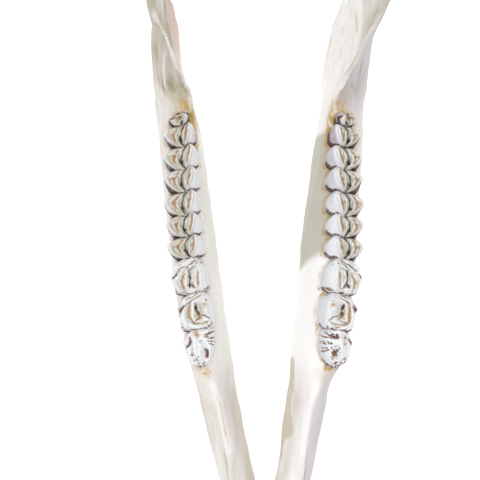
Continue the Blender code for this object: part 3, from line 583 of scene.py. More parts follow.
def smooth_through(knots, values, at):
    """Cubic pieces through the knots that never overshoot them, column by column."""
    knots = np.asarray(knots, float)
    values = np.asarray(values, float)
    values = values.reshape(len(knots), -1)
    steps = np.diff(knots)[:, None]
    slopes = np.diff(values, axis=0) / steps
    tangents = np.zeros_like(values)
    same_way = slopes[:-1] * slopes[1:] > 0
    first = 2 * steps[1:] + steps[:-1]
    second = steps[1:] + 2 * steps[:-1]
    with np.errstate(divide="ignore", invalid="ignore"):
        mean = (first + second) / (first / slopes[:-1] + second / slopes[1:])
    tangents[1:-1] = np.where(same_way, mean, 0)
    tangents[0] = slopes[0]
    tangents[-1] = slopes[-1]
    at = np.clip(np.atleast_1d(at).astype(float), knots[0], knots[-1])
    piece = np.clip(np.searchsorted(knots, at, side="right") - 1, 0, len(knots) - 2)
    width = steps[piece]
    t = (at[:, None] - knots[piece][:, None]) / width
    a, b = values[piece], values[piece + 1]
    ta, tb = tangents[piece] * width, tangents[piece + 1] * width
    return (
        a * (2 * t**3 - 3 * t**2 + 1)
        + ta * (t**3 - 2 * t**2 + t)
        + b * (3 * t**2 - 2 * t**3)
        + tb * (t**3 - t**2)
    )


def bump(x, centre, width):
    """A smooth bump of height 1: e to the minus square of the distance in widths."""
    return np.exp(-(((x - centre) / width) ** 2))


def fade(x, start, end):
    """0 before start, 1 after end, and smooth between, by 3 t squared minus 2 t cubed."""
    t = np.clip((x - start) / (end - start), 0, 1)
    return t * t * (3 - 2 * t)


def ripples(points, length, seed, waves=14):
    """A smooth uneven field of about -1 to 1: plane waves of nearly one length, directions and
    phases drawn from the seed, added up."""
    draw = np.random.default_rng(seed)
    ways = draw.normal(size=(waves, 3))
    ways /= np.linalg.norm(ways, axis=1)[:, None]
    lengths = length * draw.uniform(0.7, 1.45, waves)
    phases = draw.uniform(0, 2 * np.pi, waves)
    field = np.sin(points @ (ways / lengths[:, None]).T * 2 * np.pi + phases)
    return field.sum(axis=1) / math.sqrt(2 * waves)


def section_rings(sections):
    """Rings of points, in millimetres, along a form given by its sections. A ring is the outline
    of a superellipse: its half width is the e-th root of 1 minus |cos|^e at each height."""
    table = np.array([[*s.low, *s.high, *s.inner, *s.outer, s.crest, s.square] for s in sections])
    middles = (table[:, 0:2] + table[:, 2:4]) / 2
    travel = np.hypot(*np.diff(middles, axis=0).T)
    knots = np.concatenate([[0], np.cumsum(travel)])
    count = int(knots[-1] * RINGS_PER_MM)
    rows = smooth_through(knots, table, np.linspace(0, knots[-1], count))[:, None, :]
    turn = np.linspace(0, 2 * np.pi, RING_POINTS, endpoint=False)[None, :]
    square = rows[..., 11]
    up = 0.5 - 0.5 * np.cos(turn)
    spread = (1 - np.abs(np.cos(turn)) ** square).clip(0) ** (1 / square)
    low_weight = (1 - up) * (1 - 2 * up)
    middle_weight = 4 * up * (1 - up)
    high_weight = up * (2 * up - 1)
    inner = rows[..., 4] * low_weight + rows[..., 5] * middle_weight + rows[..., 6] * high_weight
    outer = rows[..., 7] * low_weight + rows[..., 8] * middle_weight + rows[..., 9] * high_weight
    foot = (rows[..., 4] + rows[..., 7]) / 2
    spine = foot + (rows[..., 10] - foot) * up
    side = np.where(np.sin(turn) > 0, outer, inner)
    x = spine + spread * (side - spine)
    y = rows[..., 0] + (rows[..., 2] - rows[..., 0]) * up
    z = rows[..., 1] + (rows[..., 3] - rows[..., 1]) * up
    return np.stack([x, y, z], axis=-1)


def ring_faces(count, points, first=0):
    """Quads between count closed rings of points, and a fan of triangles to a middle point at
    each end. The middle points follow the rings in the list of vertices."""
    index = first + np.arange(count * points).reshape(count, points)
    following = np.roll(index, -1, axis=1)
    quads = np.stack([index[:-1], following[:-1], following[1:], index[1:]], axis=-1).reshape(-1, 4)
    start, end = first + count * points, first + count * points + 1
    near = np.stack([following[0], index[0], np.full(points, start)], axis=-1)
    far = np.stack([index[-1], following[-1], np.full(points, end)], axis=-1)
    return quads.tolist() + near.tolist() + far.tolist()


def with_middles(rings):
    """The rings' points in one list, with the middle of the first and of the last ring behind."""
    values = rings.reshape(-1, rings.shape[-1])
    return np.concatenate([values, rings[:1].mean(axis=1), rings[-1:].mean(axis=1)])


def placed(points, side):
    """Millimetres on the left side to metres in the row frame. The left half leans: its points
    move out by a share between the foot's and the top's lean. The right half is mirrored."""
    points = np.array(points, float)
    if side == "left":
        low, high = LEAN_LEVELS
        up = fade(points[:, 2], low, high)
        lean = smooth_through(LEAN_Y, np.stack([LEAN_FOOT, LEAN_TOP], axis=-1), points[:, 1])
        points[:, 0] += lean[:, 0] + (lean[:, 1] - lean[:, 0]) * up
        points[:, 1] -= LEFT_FORWARD
    points[:, 1] -= ORIGIN_Y
    if side == "right":
        points[:, 0] *= -1
    return points * MM


def closed(rings, masks):
    """The points, the faces and the masks of a closed form that is given by its rings."""
    ends = {name: with_middles(mask[..., None])[:, 0] for name, mask in masks.items()}
    return with_middles(rings), ring_faces(*rings.shape[:2]), ends


def new_piece(side, name, points, faces, masks, material):
    """A smooth-shaded piece of one half, with its masks kept as point attributes. Its points are
    in millimetres on the left side, and its faces turn round where they are mirrored."""
    name = f"{side}_{name}"
    if side == "right":
        faces = [face[::-1] for face in faces]
    mesh = bpy.data.meshes.new(name)
    mesh.from_pydata(placed(points, side).tolist(), [], faces)
    mesh.validate()
    for mask, values in masks.items():
        layer = mesh.attributes.new(mask, "FLOAT", "POINT")
        layer.data.foreach_set("value", np.clip(values, 0, 1).astype(np.float32))
    mesh.shade_smooth()
    mesh.materials.append(material)
    piece = bpy.data.objects.new(name, mesh)
    bpy.context.scene.collection.objects.link(piece)
    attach(piece, "root")
    return piece


def fused_bone(step):
    """The bone of the left half as one closed surface: its three lofts run into each other, and a
    voxel grid joins them. Returns points in millimetres, faces and outward normals."""
    points, faces, first = [], [], 0
    for sections in (BODY, BLADE, KNUCKLE):
        rings = section_rings(sections)
        # The forms go on a little below the floor, and bone_relief cuts them level.
        rings[..., 2] = np.maximum(rings[..., 2], -0.3)
        faces += ring_faces(*rings.shape[:2], first)
        points.append(with_middles(rings))
        first += len(points[-1])
    mesh = bpy.data.meshes.new("lofts")
    mesh.from_pydata((np.concatenate(points) * MM).tolist(), [], faces)
    lofts = bpy.data.objects.new("lofts", mesh)
    bpy.context.scene.collection.objects.link(lofts)
    fuse = lofts.modifiers.new("fuse", "REMESH")
    fuse.mode = "VOXEL"
    fuse.voxel_size = step
    even = lofts.modifiers.new("even", "SMOOTH")
    even.factor = 0.5
    even.iterations = 7
    graph = bpy.context.evaluated_depsgraph_get()
    fused = bpy.data.meshes.new_from_object(lofts.evaluated_get(graph))
    bpy.data.objects.remove(lofts)
    bpy.data.meshes.remove(mesh)
    corners = np.empty(3 * len(fused.vertices))
    fused.vertices.foreach_get("co", corners)
    normals = np.empty(3 * len(fused.vertices))
    fused.vertex_normals.foreach_get("vector", normals)
    quads = np.empty(4 * len(fused.polygons), dtype=int)
    fused.polygons.foreach_get("vertices", quads)
    bpy.data.meshes.remove(fused)
    return corners.reshape(-1, 3) / MM, quads.reshape(-1, 4).tolist(), normals.reshape(-1, 3)


def away_from(p, corner):
    """How far p is from the corner, as a share of the way to the lobe's end."""
    return np.where(p < corner, (corner - p) / (corner + 1), (p - corner) / (1 - corner))


def reach(edge, p, corner, lobe):
    """How far out an edge lies at p: its value at the corner, falling to its end value with a
    power of the share of the way to the end."""
    before = p < corner
    end = np.where(before, edge.front, edge.back)
    fill = np.where(before, lobe.front_fill, lobe.back_fill)
    square = np.where(before, edge.square_front, edge.square_back)
    end = end + (edge.corner - end) * fill
    return edge.corner + (end - edge.corner) * away_from(p, corner) ** square


def row_middle(y):
    """How far the middle of the tooth row lies from the jaw's middle plane."""
    return smooth_through(ROW_Y, ROW_X, y)[:, 0]


def socket_level(y):
    """How high the bone stands at the tooth row."""
    return smooth_through(SOCKET_Y, SOCKET_Z, y)[:, 0]


def molar_rows(molar, lobe, p):
    """Rows like a premolar's for one lobe of a molar, at places p from -1 at its front to 1 at
    its back. Its rims drop with a power of the distance from the corner."""
    fill = np.where(p < lobe.corner, lobe.front_fill, lobe.back_fill)
    cheek_top = molar.cheek_height - RIM_DROP * (1 - fill) * away_from(p, lobe.corner) ** 1.3
    tongue_top = molar.tongue_height - RIM_DROP * (1 - fill) * away_from(p, TONGUE_CORNER) ** 1.5
    floor = np.minimum(cheek_top, tongue_top) - GROOVE_DEPTH * (1 - 0.6 * p**2)
    groove = smooth_through(*zip(*GROOVE_PATH), (p + 1) / 2)[:, 0]
    cheek_rim = CHEEK_RIM._replace(square_front=lobe.round_front)
    edges = (
        reach(TONGUE_NECK, p, 0.0, lobe) * lobe.tongue,
        reach(TONGUE_RIM, p, TONGUE_CORNER, lobe) * lobe.tongue,
        np.where(groove > 0, groove * lobe.cheek, groove * lobe.tongue),
        reach(cheek_rim, p, lobe.corner, lobe) * lobe.cheek,
        reach(CHEEK_NECK, p, 0.4 * lobe.corner, lobe) * lobe.cheek,
    )
    return np.stack([*edges, tongue_top, floor, cheek_top], axis=-1)


def line_in(line, start, length, cheek, tongue, half, tilt, draw):
    """A line in the tooth's own millimetres, shaken a little. The tilt moves what lies in the
    middle of the face towards the cheek by a share that falls as 1 minus out squared."""
    share, out = np.array(line.path).T
    share = share + draw.normal(0, SHAKE_ALONG, len(share))
    out = out + draw.normal(0, SHAKE_ACROSS, len(out))
    out = np.where(out > 0, out * cheek, out * tongue)
    out = out + tilt * (1 - out**2).clip(0)
    return line._replace(path=np.stack([start + length * share, out * half], axis=-1))


def tooth_plan(tooth, side="right", draw=None):
    """A tooth as places along it, its rows there, how stained its cheek wall and its tongue wall
    are, how far the nearest notch lies, and its lines."""
    draw = draw or np.random.default_rng(0)
    half, tilt = tooth.width / 2, TILT[side]
    if isinstance(tooth, Premolar):
        share = np.linspace(0, 1, int(tooth.length / CROWN_STEP))
        table = np.array(tooth.rows)
        rows = smooth_through(table[:, 0], table[:, 1:], share)
        seam = np.minimum(share, 1 - share) * tooth.length + 0.4
        walls = np.stack([0.22 + 0 * share, 0 * share])
        drawn = tooth.lines[side] if isinstance(tooth.lines, dict) else tooth.lines
        lines = [line_in(n, tooth.front, tooth.length, 1, 1, half, tilt, draw) for n in drawn]
        return tooth.front + share * tooth.length, rows, walls, seam, lines
    along, rows, walls, seam, lines = [], [], [], [], []
    start = tooth.front
    for lobe in tooth.lobes:
        length = tooth.length * lobe.share
        last = lobe is tooth.lobes[-1]
        p = np.linspace(-1, 1, int(length / CROWN_STEP) + 1)[: None if last else -1]
        along.append(start + length * (p + 1) / 2)
        rows.append(molar_rows(tooth, lobe, p))
        cheek_wall = lobe.stained * (0.12 + 0.88 * fade(lobe.corner - p, -0.08, 0.5))
        walls.append(np.stack([cheek_wall, lobe.tongue_stained + 0 * p]))
        seam.append((1 - np.abs(p)) * length / 2 + 0.2)
        third = len(tooth.lobes) == 3 and last
        for line in LAST_LOBE_LINES if third else CRESCENT_LINES + GROOVE_LINES:
            lines.append(line_in(line, start, length, lobe.cheek, lobe.tongue, half, tilt, draw))
        start += length
    walls = np.concatenate(walls, axis=1)
    return np.concatenate(along), np.concatenate(rows), walls, np.concatenate(seam), lines


def from_line(places, path):
    """How far places lie from a smooth line through the path's points, and the share of the
    line's length at which each is nearest."""
    pieces = 14 if len(path) > 2 else 2
    fine = smooth_through(np.linspace(0, 1, len(path)), path, np.linspace(0, 1, pieces + 1))
    start, way = fine[:-1], np.diff(fine, axis=0)
    offset = places[:, None, :] - start
    share = np.clip((offset * way).sum(axis=-1) / (way**2).sum(axis=-1), 0, 1)
    gaps = np.linalg.norm(offset - share[..., None] * way, axis=-1)
    nearest = gaps.argmin(axis=1)
    every = np.arange(len(places))
    return gaps[every, nearest], (nearest + share[every, nearest]) / pieces


def crown_profiles(rows, tilt):
    """A crown before it is worn, with a row of points for each place along it: the share of the
    way from root to root, how far out and how high each point lies. Smooth curves run through
    twelve points. The tilt moves the middle of the face as it moves the lines."""
    tongue_neck, tongue_rim, groove, cheek_rim, cheek_neck, tongue_top, floor, cheek_top = rows.T
    tongue_rim = -tongue_rim + tilt * (1 - tongue_rim**2)
    groove = groove + tilt * (1 - groove**2)
    flat = np.zeros_like(floor)
    outs = (
        -tongue_neck * ROOT_SHARE,
        -tongue_neck,
        0.4 * tongue_rim - 0.6 * tongue_neck - TONGUE_BULGE,
        tongue_rim,
        (groove + tongue_rim) / 2,
        groove,
        (2 * groove + cheek_rim) / 3,
        (groove + 3 * cheek_rim) / 4,
        cheek_rim,
        (cheek_neck + cheek_rim) / 2 + CHEEK_BULGE * (cheek_neck > 0.5),
        cheek_neck,
        cheek_neck * ROOT_SHARE,
    )
    heights = (
        flat - ROOT_DEPTH,
        flat + 1.0,
        0.72 * tongue_top,
        tongue_top,
        0.3 * floor + 0.7 * tongue_top,
        floor,
        0.4 * floor + 0.6 * cheek_top,
        cheek_top - 0.4,
        cheek_top,
        0.60 * cheek_top,
        flat + 0.5,
        flat - ROOT_DEPTH,
    )
    q = np.linspace(0, 1, CROWN_POINTS)
    out = smooth_through(PROFILE_KNOTS, np.stack(outs), q).T
    height = smooth_through(PROFILE_KNOTS, np.stack(heights), q).T
    return q[None, :], out, height


def worked_face(tooth, lines, plan, biting, rims, height, speckle, draw):
    """What the lines do to a crown. Each raises or sinks it by e to the minus square of the
    distance in widths, and less towards its own ends. Gives how raised the crown is, how far it
    rises and is pushed outwards, in millimetres, and the masks of the colours left on it."""
    shape = height.shape
    brown = "rust" if isinstance(tooth, Premolar) else "stain"
    # The mask that each sunk kind of line leaves, and where it may lie.
    kept = {
        "dentine": ("dentine", biting),
        "groove": ("groove", 1),
        "fold": (brown, 1),
        "mottle": (brown, 1),
        "layer": ("layer", biting),
        "gold": ("neck", 1),
    }
    raised = rims
    relief = (1.1 if isinstance(tooth, Molar) else 0.7) * rims
    push = np.zeros(shape)
    masks = ("dentine", "groove", "stain", "rust", "layer", "neck")
    marks = {mark: np.zeros(shape) for mark in masks}
    for line in lines:
        gap, share = (each.reshape(shape) for each in from_line(plan, line.path))
        near = bump(gap, 0, line.width)
        worth = 1 - 0.5 * np.abs(2 * share - 1) ** 4
        if line.kind == "mottle":
            near = near * speckle
        if line.kind == "groove":
            near = near * (0.84 + 0.16 * np.cos(2 * np.pi * (2.6 * share + draw.uniform())))
        size = line.height * draw.uniform(0.8, 1.2) * worth * near
        if line.kind == "ridge":
            raised = raised + near * worth
            relief = relief + size * biting
        elif line.kind == "knob":
            raised = raised + near * worth
            relief = relief + size * fade(height, 0, 5)
            push = push + 0.35 * size * fade(height, 0, 4)
        else:
            mark, where = kept[line.kind]
            halo = 0.42 * bump(gap, 0, 2.8 * line.width) if mark == "dentine" else 0
            marks[mark] = np.maximum(marks[mark], worth * (near + halo) * where)
            relief = relief - size * (fade(height, 1, 5) if mark in SUNK_ON_WALLS else where)
    return raised, relief, push, marks


def wall_stains(side, walls, seam, on_cheek_wall, on_tongue_wall, low, speckle, blotches):
    """How brown and how rusty a crown's walls are: in blotches on the walls of stained lobes, in
    the notches of the cheek wall, where the brown is partly painted shade, and in front of each
    tongue cusp, wider towards the bone."""
    cheek_wall, tongue_wall = walls[0][:, None], walls[1][:, None]
    corner = 1.3 + 2.0 * low
    if side == "left":
        tongue_wall = np.minimum(2.6 * tongue_wall, 0.9)
        corner = 1.5 + 4.2 * low
    front_half = fade(np.gradient(seam[:, 0]), -0.05, 0.05)[:, None]
    uneven = 0.7 + 0.3 * speckle
    broken = 0.35 + 0.65 * speckle
    stain = on_cheek_wall * (cheek_wall + 0.22 * blotches).clip(0, 1) * (0.62 + 0.38 * low)
    stain = stain * (cheek_wall > 0.12) * uneven
    stain = stain + on_tongue_wall * tongue_wall * (0.35 + 0.65 * low) * uneven
    # Brown in the notches of the cheek wall: stain and painted shade.
    stain = stain + 0.95 * on_cheek_wall * bump(seam, 0, 1.5)
    stain = stain + on_tongue_wall * fade(seam, corner, 0.5 * corner) * front_half * broken
    rust = 0.5 * on_tongue_wall * bump(seam, 2.3, 0.9) * front_half * low * speckle
    return stain, rust


def standing_out(height):
    """How far each point of a crown stands above its surroundings: its height less the height
    that is left when every point is set to the mean of three, across and along, again and again."""
    even = height
    for _ in range(EVEN_ROUNDS):
        even = (even + np.roll(even, 1, 1) + np.roll(even, -1, 1)) / 3
        even[1:-1] = (even[:-2] + even[1:-1] + even[2:]) / 3
    return height - even


def crown(tooth, side, draw):
    """All rings of one cheek tooth and the masks of its colours. The places that its lines are
    measured from are moved a little by a slow wave, so that no line is straight."""
    along, rows, walls, seam, lines = tooth_plan(tooth, side, draw)
    half, seam = tooth.width / 2, seam[:, None]
    q, out, height = crown_profiles(rows, TILT[side])
    # How far over the face each point is, from 0 at the groove to 1 at the rims.
    to_cheek = ((q - GROOVE_AT) / (CHEEK_RIM_AT - GROOVE_AT)).clip(0, None)
    to_tongue = ((GROOVE_AT - q) / (GROOVE_AT - TONGUE_RIM_AT)).clip(0, None)
    to_rim = to_cheek + to_tongue
    biting = fade(to_rim, 1.12, 1.0) + np.zeros_like(out)
    rims = bump(to_cheek, 0.90, 0.10) + bump(to_tongue, 0.90, 0.13)

    places = np.stack([along[:, None] + 0 * out, out * half, height], axis=-1).reshape(-1, 3)
    waves = np.stack([ripples(places, 3.0, draw.integers(1000)) for _ in range(2)], axis=-1)
    grain = 2.3 if isinstance(tooth, Premolar) else 1.5
    speckle = fade(ripples(places, grain, draw.integers(1000)), -0.35, 0.25).reshape(out.shape)
    plan = places[:, :2] + WOBBLE * waves
    raised, relief, push, marks = worked_face(
        tooth, lines, plan, biting, rims, height, speckle, draw
    )
    height = height + relief
    blotches = ripples(places, 6.0, draw.integers(1000)).reshape(out.shape)

    cheek_top = rows[:, 7:8]
    low = fade(height, 0.95 * cheek_top, 0.35 * cheek_top)
    on_cheek_wall = fade(q, CHEEK_RIM_AT + 0.01, CHEEK_RIM_AT + 0.06)
    on_tongue_wall = fade(q, TONGUE_RIM_AT - 0.02, TONGUE_RIM_AT - 0.07)
    stain, rust = wall_stains(
        side, walls, seam, on_cheek_wall, on_tongue_wall, low, speckle, blotches
    )
    # A dark line at each notch of the biting face: stain and painted shade.
    stain = stain + 0.8 * bump(seam, 0.2, 0.45) * biting * (to_rim > 0.45)
    # The left row's tongue walls are in shade at the back, and a little at the front.
    shaded = 0.8 * fade(along, 88, 130) + 0.3 * fade(along, 50, 46)
    shaded = shaded[:, None] * on_tongue_wall * (side == "left")
    standing = standing_out(height) * fade(q, 0.12, 0.2) * fade(q, 0.98, 0.9)
    cream = tooth.cream * CREAM_OF_SIDE[side]
    layers = 0.5 + 0.5 * np.cos(2 * np.pi * LAYERS * to_rim)
    marks["dentine"] = np.maximum(marks["dentine"], rust)
    marks["stain"] = np.maximum(marks["stain"], stain) * fade(height, -1.0, 1.0)
    # Painted shade in the hollows, from how far each point lies below its surroundings.
    marks["cavity_shade"] = (-standing / 0.55).clip(0, 1) * (0.65 + 0.35 * tooth.cream)
    # On the crests, a white that is partly the enamel's own and partly a painted highlight.
    marks["crest"] = (standing / 0.45).clip(0, 1) * biting * (1 - 0.6 * cream)
    marks["layer"] = np.maximum(marks["layer"], 0.4 * layers * biting * cream)
    marks["face"] = biting * (1 - 0.6 * raised.clip(0, 1) ** 2) * cream
    marks["neck"] = np.maximum(marks["neck"], fade(height, 2.5, 0.0))
    # Painted shade on the walls down by the bone, and on the left row's shaded tongue walls.
    marks["wall_shade"] = np.maximum(0.6 * np.maximum(on_cheek_wall, on_tongue_wall) * low, shaded)

    x = row_middle(along)[:, None] + out * half + push
    y = along[:, None] - TONGUE_SET_BACK * out
    if isinstance(tooth, Molar):
        y = y + TONGUE_BACK_LEAN * fade(height, 3, tooth.tongue_height) * fade(-out, 0.15, 0.5)
    z = socket_level(along)[:, None] + height
    return with_round_ends(tooth, np.stack([x, y, z], axis=-1), marks)


def with_round_ends(tooth, rings, marks):
    """A crown's rings closed at both ends, and its masks carried on over the ends."""
    front = ROW_FRONT_BULGE if tooth is CHEEK_TEETH["premolar_2"] else END_BULGE
    back = ROW_BACK_BULGE if tooth is CHEEK_TEETH["molar_3"] else END_BULGE
    rings = (rounded_end(rings[0], -front)[::-1], rings, rounded_end(rings[-1], back))
    marks = {
        mark: np.concatenate([np.repeat(m[:1], END_RINGS, 0), m, np.repeat(m[-1:], END_RINGS, 0)])
        for mark, m in marks.items()
    }
    return np.concatenate(rings), marks


def rounded_end(ring, bulge):
    """Rings that close an end: each is the last one shrunk towards its middle, by a root of the
    cosine, and moved on by the sine."""
    turn = (np.arange(1, END_RINGS + 1) / (END_RINGS + 0.35) * np.pi / 2)[:, None, None]
    middle = ring.mean(axis=0)
    closing = middle + (ring - middle)[None] * np.cos(turn) ** 0.7
    closing[..., 1] += bulge * np.sin(turn[..., 0])
    return closing


def from_teeth(points):
    """How far points lie outside the outline of the tooth row, seen from above, whether the
    tongue side is the nearer, and how far the nearest notch lies."""
    along, tongue, cheek, seams = [], [], [], []
    for tooth in CHEEK_TEETH.values():
        places, rows, _, seam, _ = tooth_plan(tooth)
        along.append(places)
        seams.append(seam)
        tongue.append(row_middle(places) - tooth.width / 2 * rows[:, 0])
        cheek.append(row_middle(places) + tooth.width / 2 * rows[:, 4])
    along, tongue, cheek, seams = map(np.concatenate, (along, tongue, cheek, seams))
    x, y = points[:, 0], points[:, 1]
    tongue_side = np.interp(y - TONGUE_SET_BACK, along, tongue) - x
    cheek_side = x - np.interp(y + TONGUE_SET_BACK, along, cheek)
    across = np.maximum(tongue_side, cheek_side)
    lengthways = np.maximum(along[0] - 1.0 - y, y - along[-1] - 0.8)
    outside = np.hypot(across.clip(0), lengthways.clip(0))
    distance = np.where(outside > 0, outside, np.maximum(across, lengthways))
    return distance, tongue_side > cheek_side, np.interp(y - TONGUE_SET_BACK, along, seams)


# Hollows and swellings of the bone: the middle of each in millimetres, its half sizes along x, y
# and z, and how far it stands out.
Mark = namedtuple("Mark", "middle size height")
BONE_MARKS = {
    "chin hole": Mark((31, -92, 22), (9, 5.5, 3.6), -4.5),
    "chin hole lip": Mark((33, -86, 24), (9, 9, 5), 0.6),
    "jaw nerve hole": Mark((56, 226, 92), (7, 5, 8.5), -4.0),
    "jaw nerve channel": Mark((55, 214, 74), (7, 3.0, 14), -1.0),
    "chewing muscle hollow": Mark((71, 236, 70), (9, 22, 34), -2.4),
    "chewing muscle rim": Mark((72, 250, 12), (9, 20, 9), 1.3),
    "inner muscle hollow": Mark((56, 236, 52), (9, 20, 26), -2.0),
    "blade hollow": Mark((58, 212, 140), (7, 9, 32), -1.2),
    "roller saddle": Mark((60, 258, 184), (6, 14, 8), -1.3),
    "row shelf": Mark((68, 166, 66), (8, 26, 9), 1.0),
}


# Lines on the bone: how wide they are and how far they stand out or are sunk, what they are
# tinted with and how strongly, and the points that they run through. A hollow's tint is painted
# shade, and a ridge's is painted light that takes the olive off.
Stroke = namedtuple("Stroke", "width height tint strength path")
# The front edge of the branch, from the last molar to the top of the blade.
BRANCH_EDGE = (
    (43.0, 150, 71),
    (43.6, 160, 74),
    (45.0, 170, 79),
    (48.6, 177.5, 86),
    (52.3, 184.5, 100),
    (54.8, 189, 119),
    (58, 196.5, 141),
    (60, 201.5, 165),
    (61.5, 205.5, 180),
    (62, 209, 197),
)
# The crest of the bar in front of the teeth.
BAR_CREST = (
    (36.5, -10, 49.5),
    (33.7, -19, 47.9),
    (30.5, -28.7, 43.4),
    (29.0, -38, 40.8),
    (27.4, -47.8, 38.7),
    (25.8, -55, 37.5),
    (25.0, -64, 36.2),
)
# The creases on the outer and the inner side of the branch's front edge.
OUTER_CREASE = (
    (46.9, 171.5, 82),
    (49.0, 175.9, 88.6),
    (50.9, 179.9, 96.5),
    (52.9, 183.9, 108.3),
    (55.6, 188.5, 120),
    (58.5, 193.5, 133),
    (60.1, 198.5, 147),
    (61.1, 203, 168),
    (61.8, 207, 186),
)
INNER_CREASE = (
    (45.8, 173, 80),
    (48.6, 180, 88),
    (52.0, 188, 102),
    (54.8, 194, 122),
    (57.6, 200, 142),
    (59.2, 205, 165),
    (60.4, 209, 180),
)
# The hollow outside the outer crease.
OUTER_HOLLOW = (
    (58.2, 177, 81),
    (58.2, 182, 90),
    (58.2, 187, 105),
    (59.2, 192, 120),
    (61.0, 198.5, 140),
    (62.2, 204, 160),
    (62.6, 208, 182),
)
BONE_STROKES = (
    # The thin ridges and hollows outside the front edge of the branch.
    Stroke(
        0.9,
        0.8,
        "ridge_light",
        0.5,
        ((61.9, 181, 80), (61.9, 186.4, 90), (61.2, 191, 105), (60.2, 199, 138)),
    ),
    Stroke(
        1.8,
        -1.8,
        "hollow",
        1.0,
        ((63.4, 172, 69), (63.8, 190, 85), (65.2, 200.3, 101), (66, 206, 125)),
    ),
    Stroke(0.7, 0.8, "ridge_light", 0.8, ((65, 172, 67), (66.2, 188, 82), (67, 198, 97))),
    Stroke(1.6, -1.0, "hollow", 0.7, ((66.2, 164, 62), (67.3, 184, 74), (67.8, 198, 88))),
    Stroke(
        0.7,
        0.7,
        "ridge_light",
        0.7,
        ((52.5, 168, 76), (54.5, 178, 80), (57.2, 188, 98), (60.5, 199, 130)),
    ),
    # The soft channel inside it, and the line that runs down from the nerve hole.
    Stroke(
        2.6,
        -1.6,
        "hollow",
        0.9,
        ((53.0, 187.5, 96), (57, 197, 120), (59.6, 204, 138), (61.4, 211, 158), (61.8, 215, 178)),
    ),
    Stroke(
        2.0,
        -1.0,
        "hollow",
        0.7,
        ((54, 192, 82), (57.2, 204, 69), (60.3, 216.5, 61), (62, 226, 55), (63, 236, 47)),
    ),
    Stroke(2.6, -0.4, "gold", 1.0, ((60.9, 217, 84.4), (62.4, 226.8, 71.1), (63.8, 236.1, 57.8))),
    # The crest of the bar in front of the teeth, and the fine channel beside it.
    Stroke(0.65, 0.6, "gold", 0.65, BAR_CREST[1:]),
    Stroke(1.6, 0.0, "ridge_light", 0.9, BAR_CREST),
    Stroke(2.6, -0.5, "hollow", 0.4, ((47, -10, 40), (43, -24, 34), (38, -42, 30), (31, -70, 27))),
    Stroke(4.0, 0.0, "hollow", 0.35, ((24, -15, 38), (19, -42, 34), (13, -75, 28), (5, -105, 24))),
    Stroke(
        0.8,
        -0.7,
        "hollow",
        0.9,
        ((29, -58, 37), (27.1, -69.3, 35.3), (26.2, -79.4, 33.1), (25, -92, 31)),
    ),
)
SIDE_STROKES = {
    "left": (
        # The front edge of the branch, from the tongue side of the last molar upwards.
        Stroke(1.8, 1.3, "ridge_light", 0.75, BRANCH_EDGE),
        # Two hollows on the outer face of the branch, the ridge between them, and a stain inside.
        Stroke(
            1.3,
            -1.2,
            "hollow",
            0.9,
            (
                (60.2, 204, 137),
                (60.0, 196, 123),
                (60.2, 191, 108),
                (61.3, 187, 93),
                (61.2, 182, 82.5),
                (60.5, 178, 76),
                (60.6, 173.8, 71),
            ),
        ),
        Stroke(
            1.0,
            -0.8,
            "hollow",
            0.8,
            ((56.6, 186, 112), (57.0, 183, 104), (58.0, 180, 82), (57, 173, 73)),
        ),
        Stroke(0.8, 0.6, "ridge_light", 0.9, ((59.0, 188.6, 102), (59.2, 182, 83), (59.6, 171.8, 71))),
        Stroke(1.6, -0.3, "hollow", 0.8, INNER_CREASE),
        Stroke(1.2, 0.0, "hollow", 0.75, BRANCH_EDGE[3:]),
        Stroke(1.2, 0.0, "gold", 0.7, ((58.2, 216, 42.4), (58.0, 212, 43.3), (57.2, 206, 45.5))),
    ),
    "right": (
        # The same edge, the creases on both sides of it, and the hollow outside them.
        Stroke(1.6, 1.5, "ridge_light", 0.6, BRANCH_EDGE),
        Stroke(0.9, -1.5, "hollow", 1.3, OUTER_CREASE),
        Stroke(1.8, -0.3, "hollow", 0.6, INNER_CREASE),
        Stroke(2.5, -2.0, "hollow", 0.8, OUTER_HOLLOW),
    ),
}
# How far the front edge of the branch is drawn towards the middle, and how wide a strip of bone
# moves with it, in millimetres.
EDGE_INWARD = {"left": 2.7, "right": 2.6}
EDGE_STRIP = 6.0


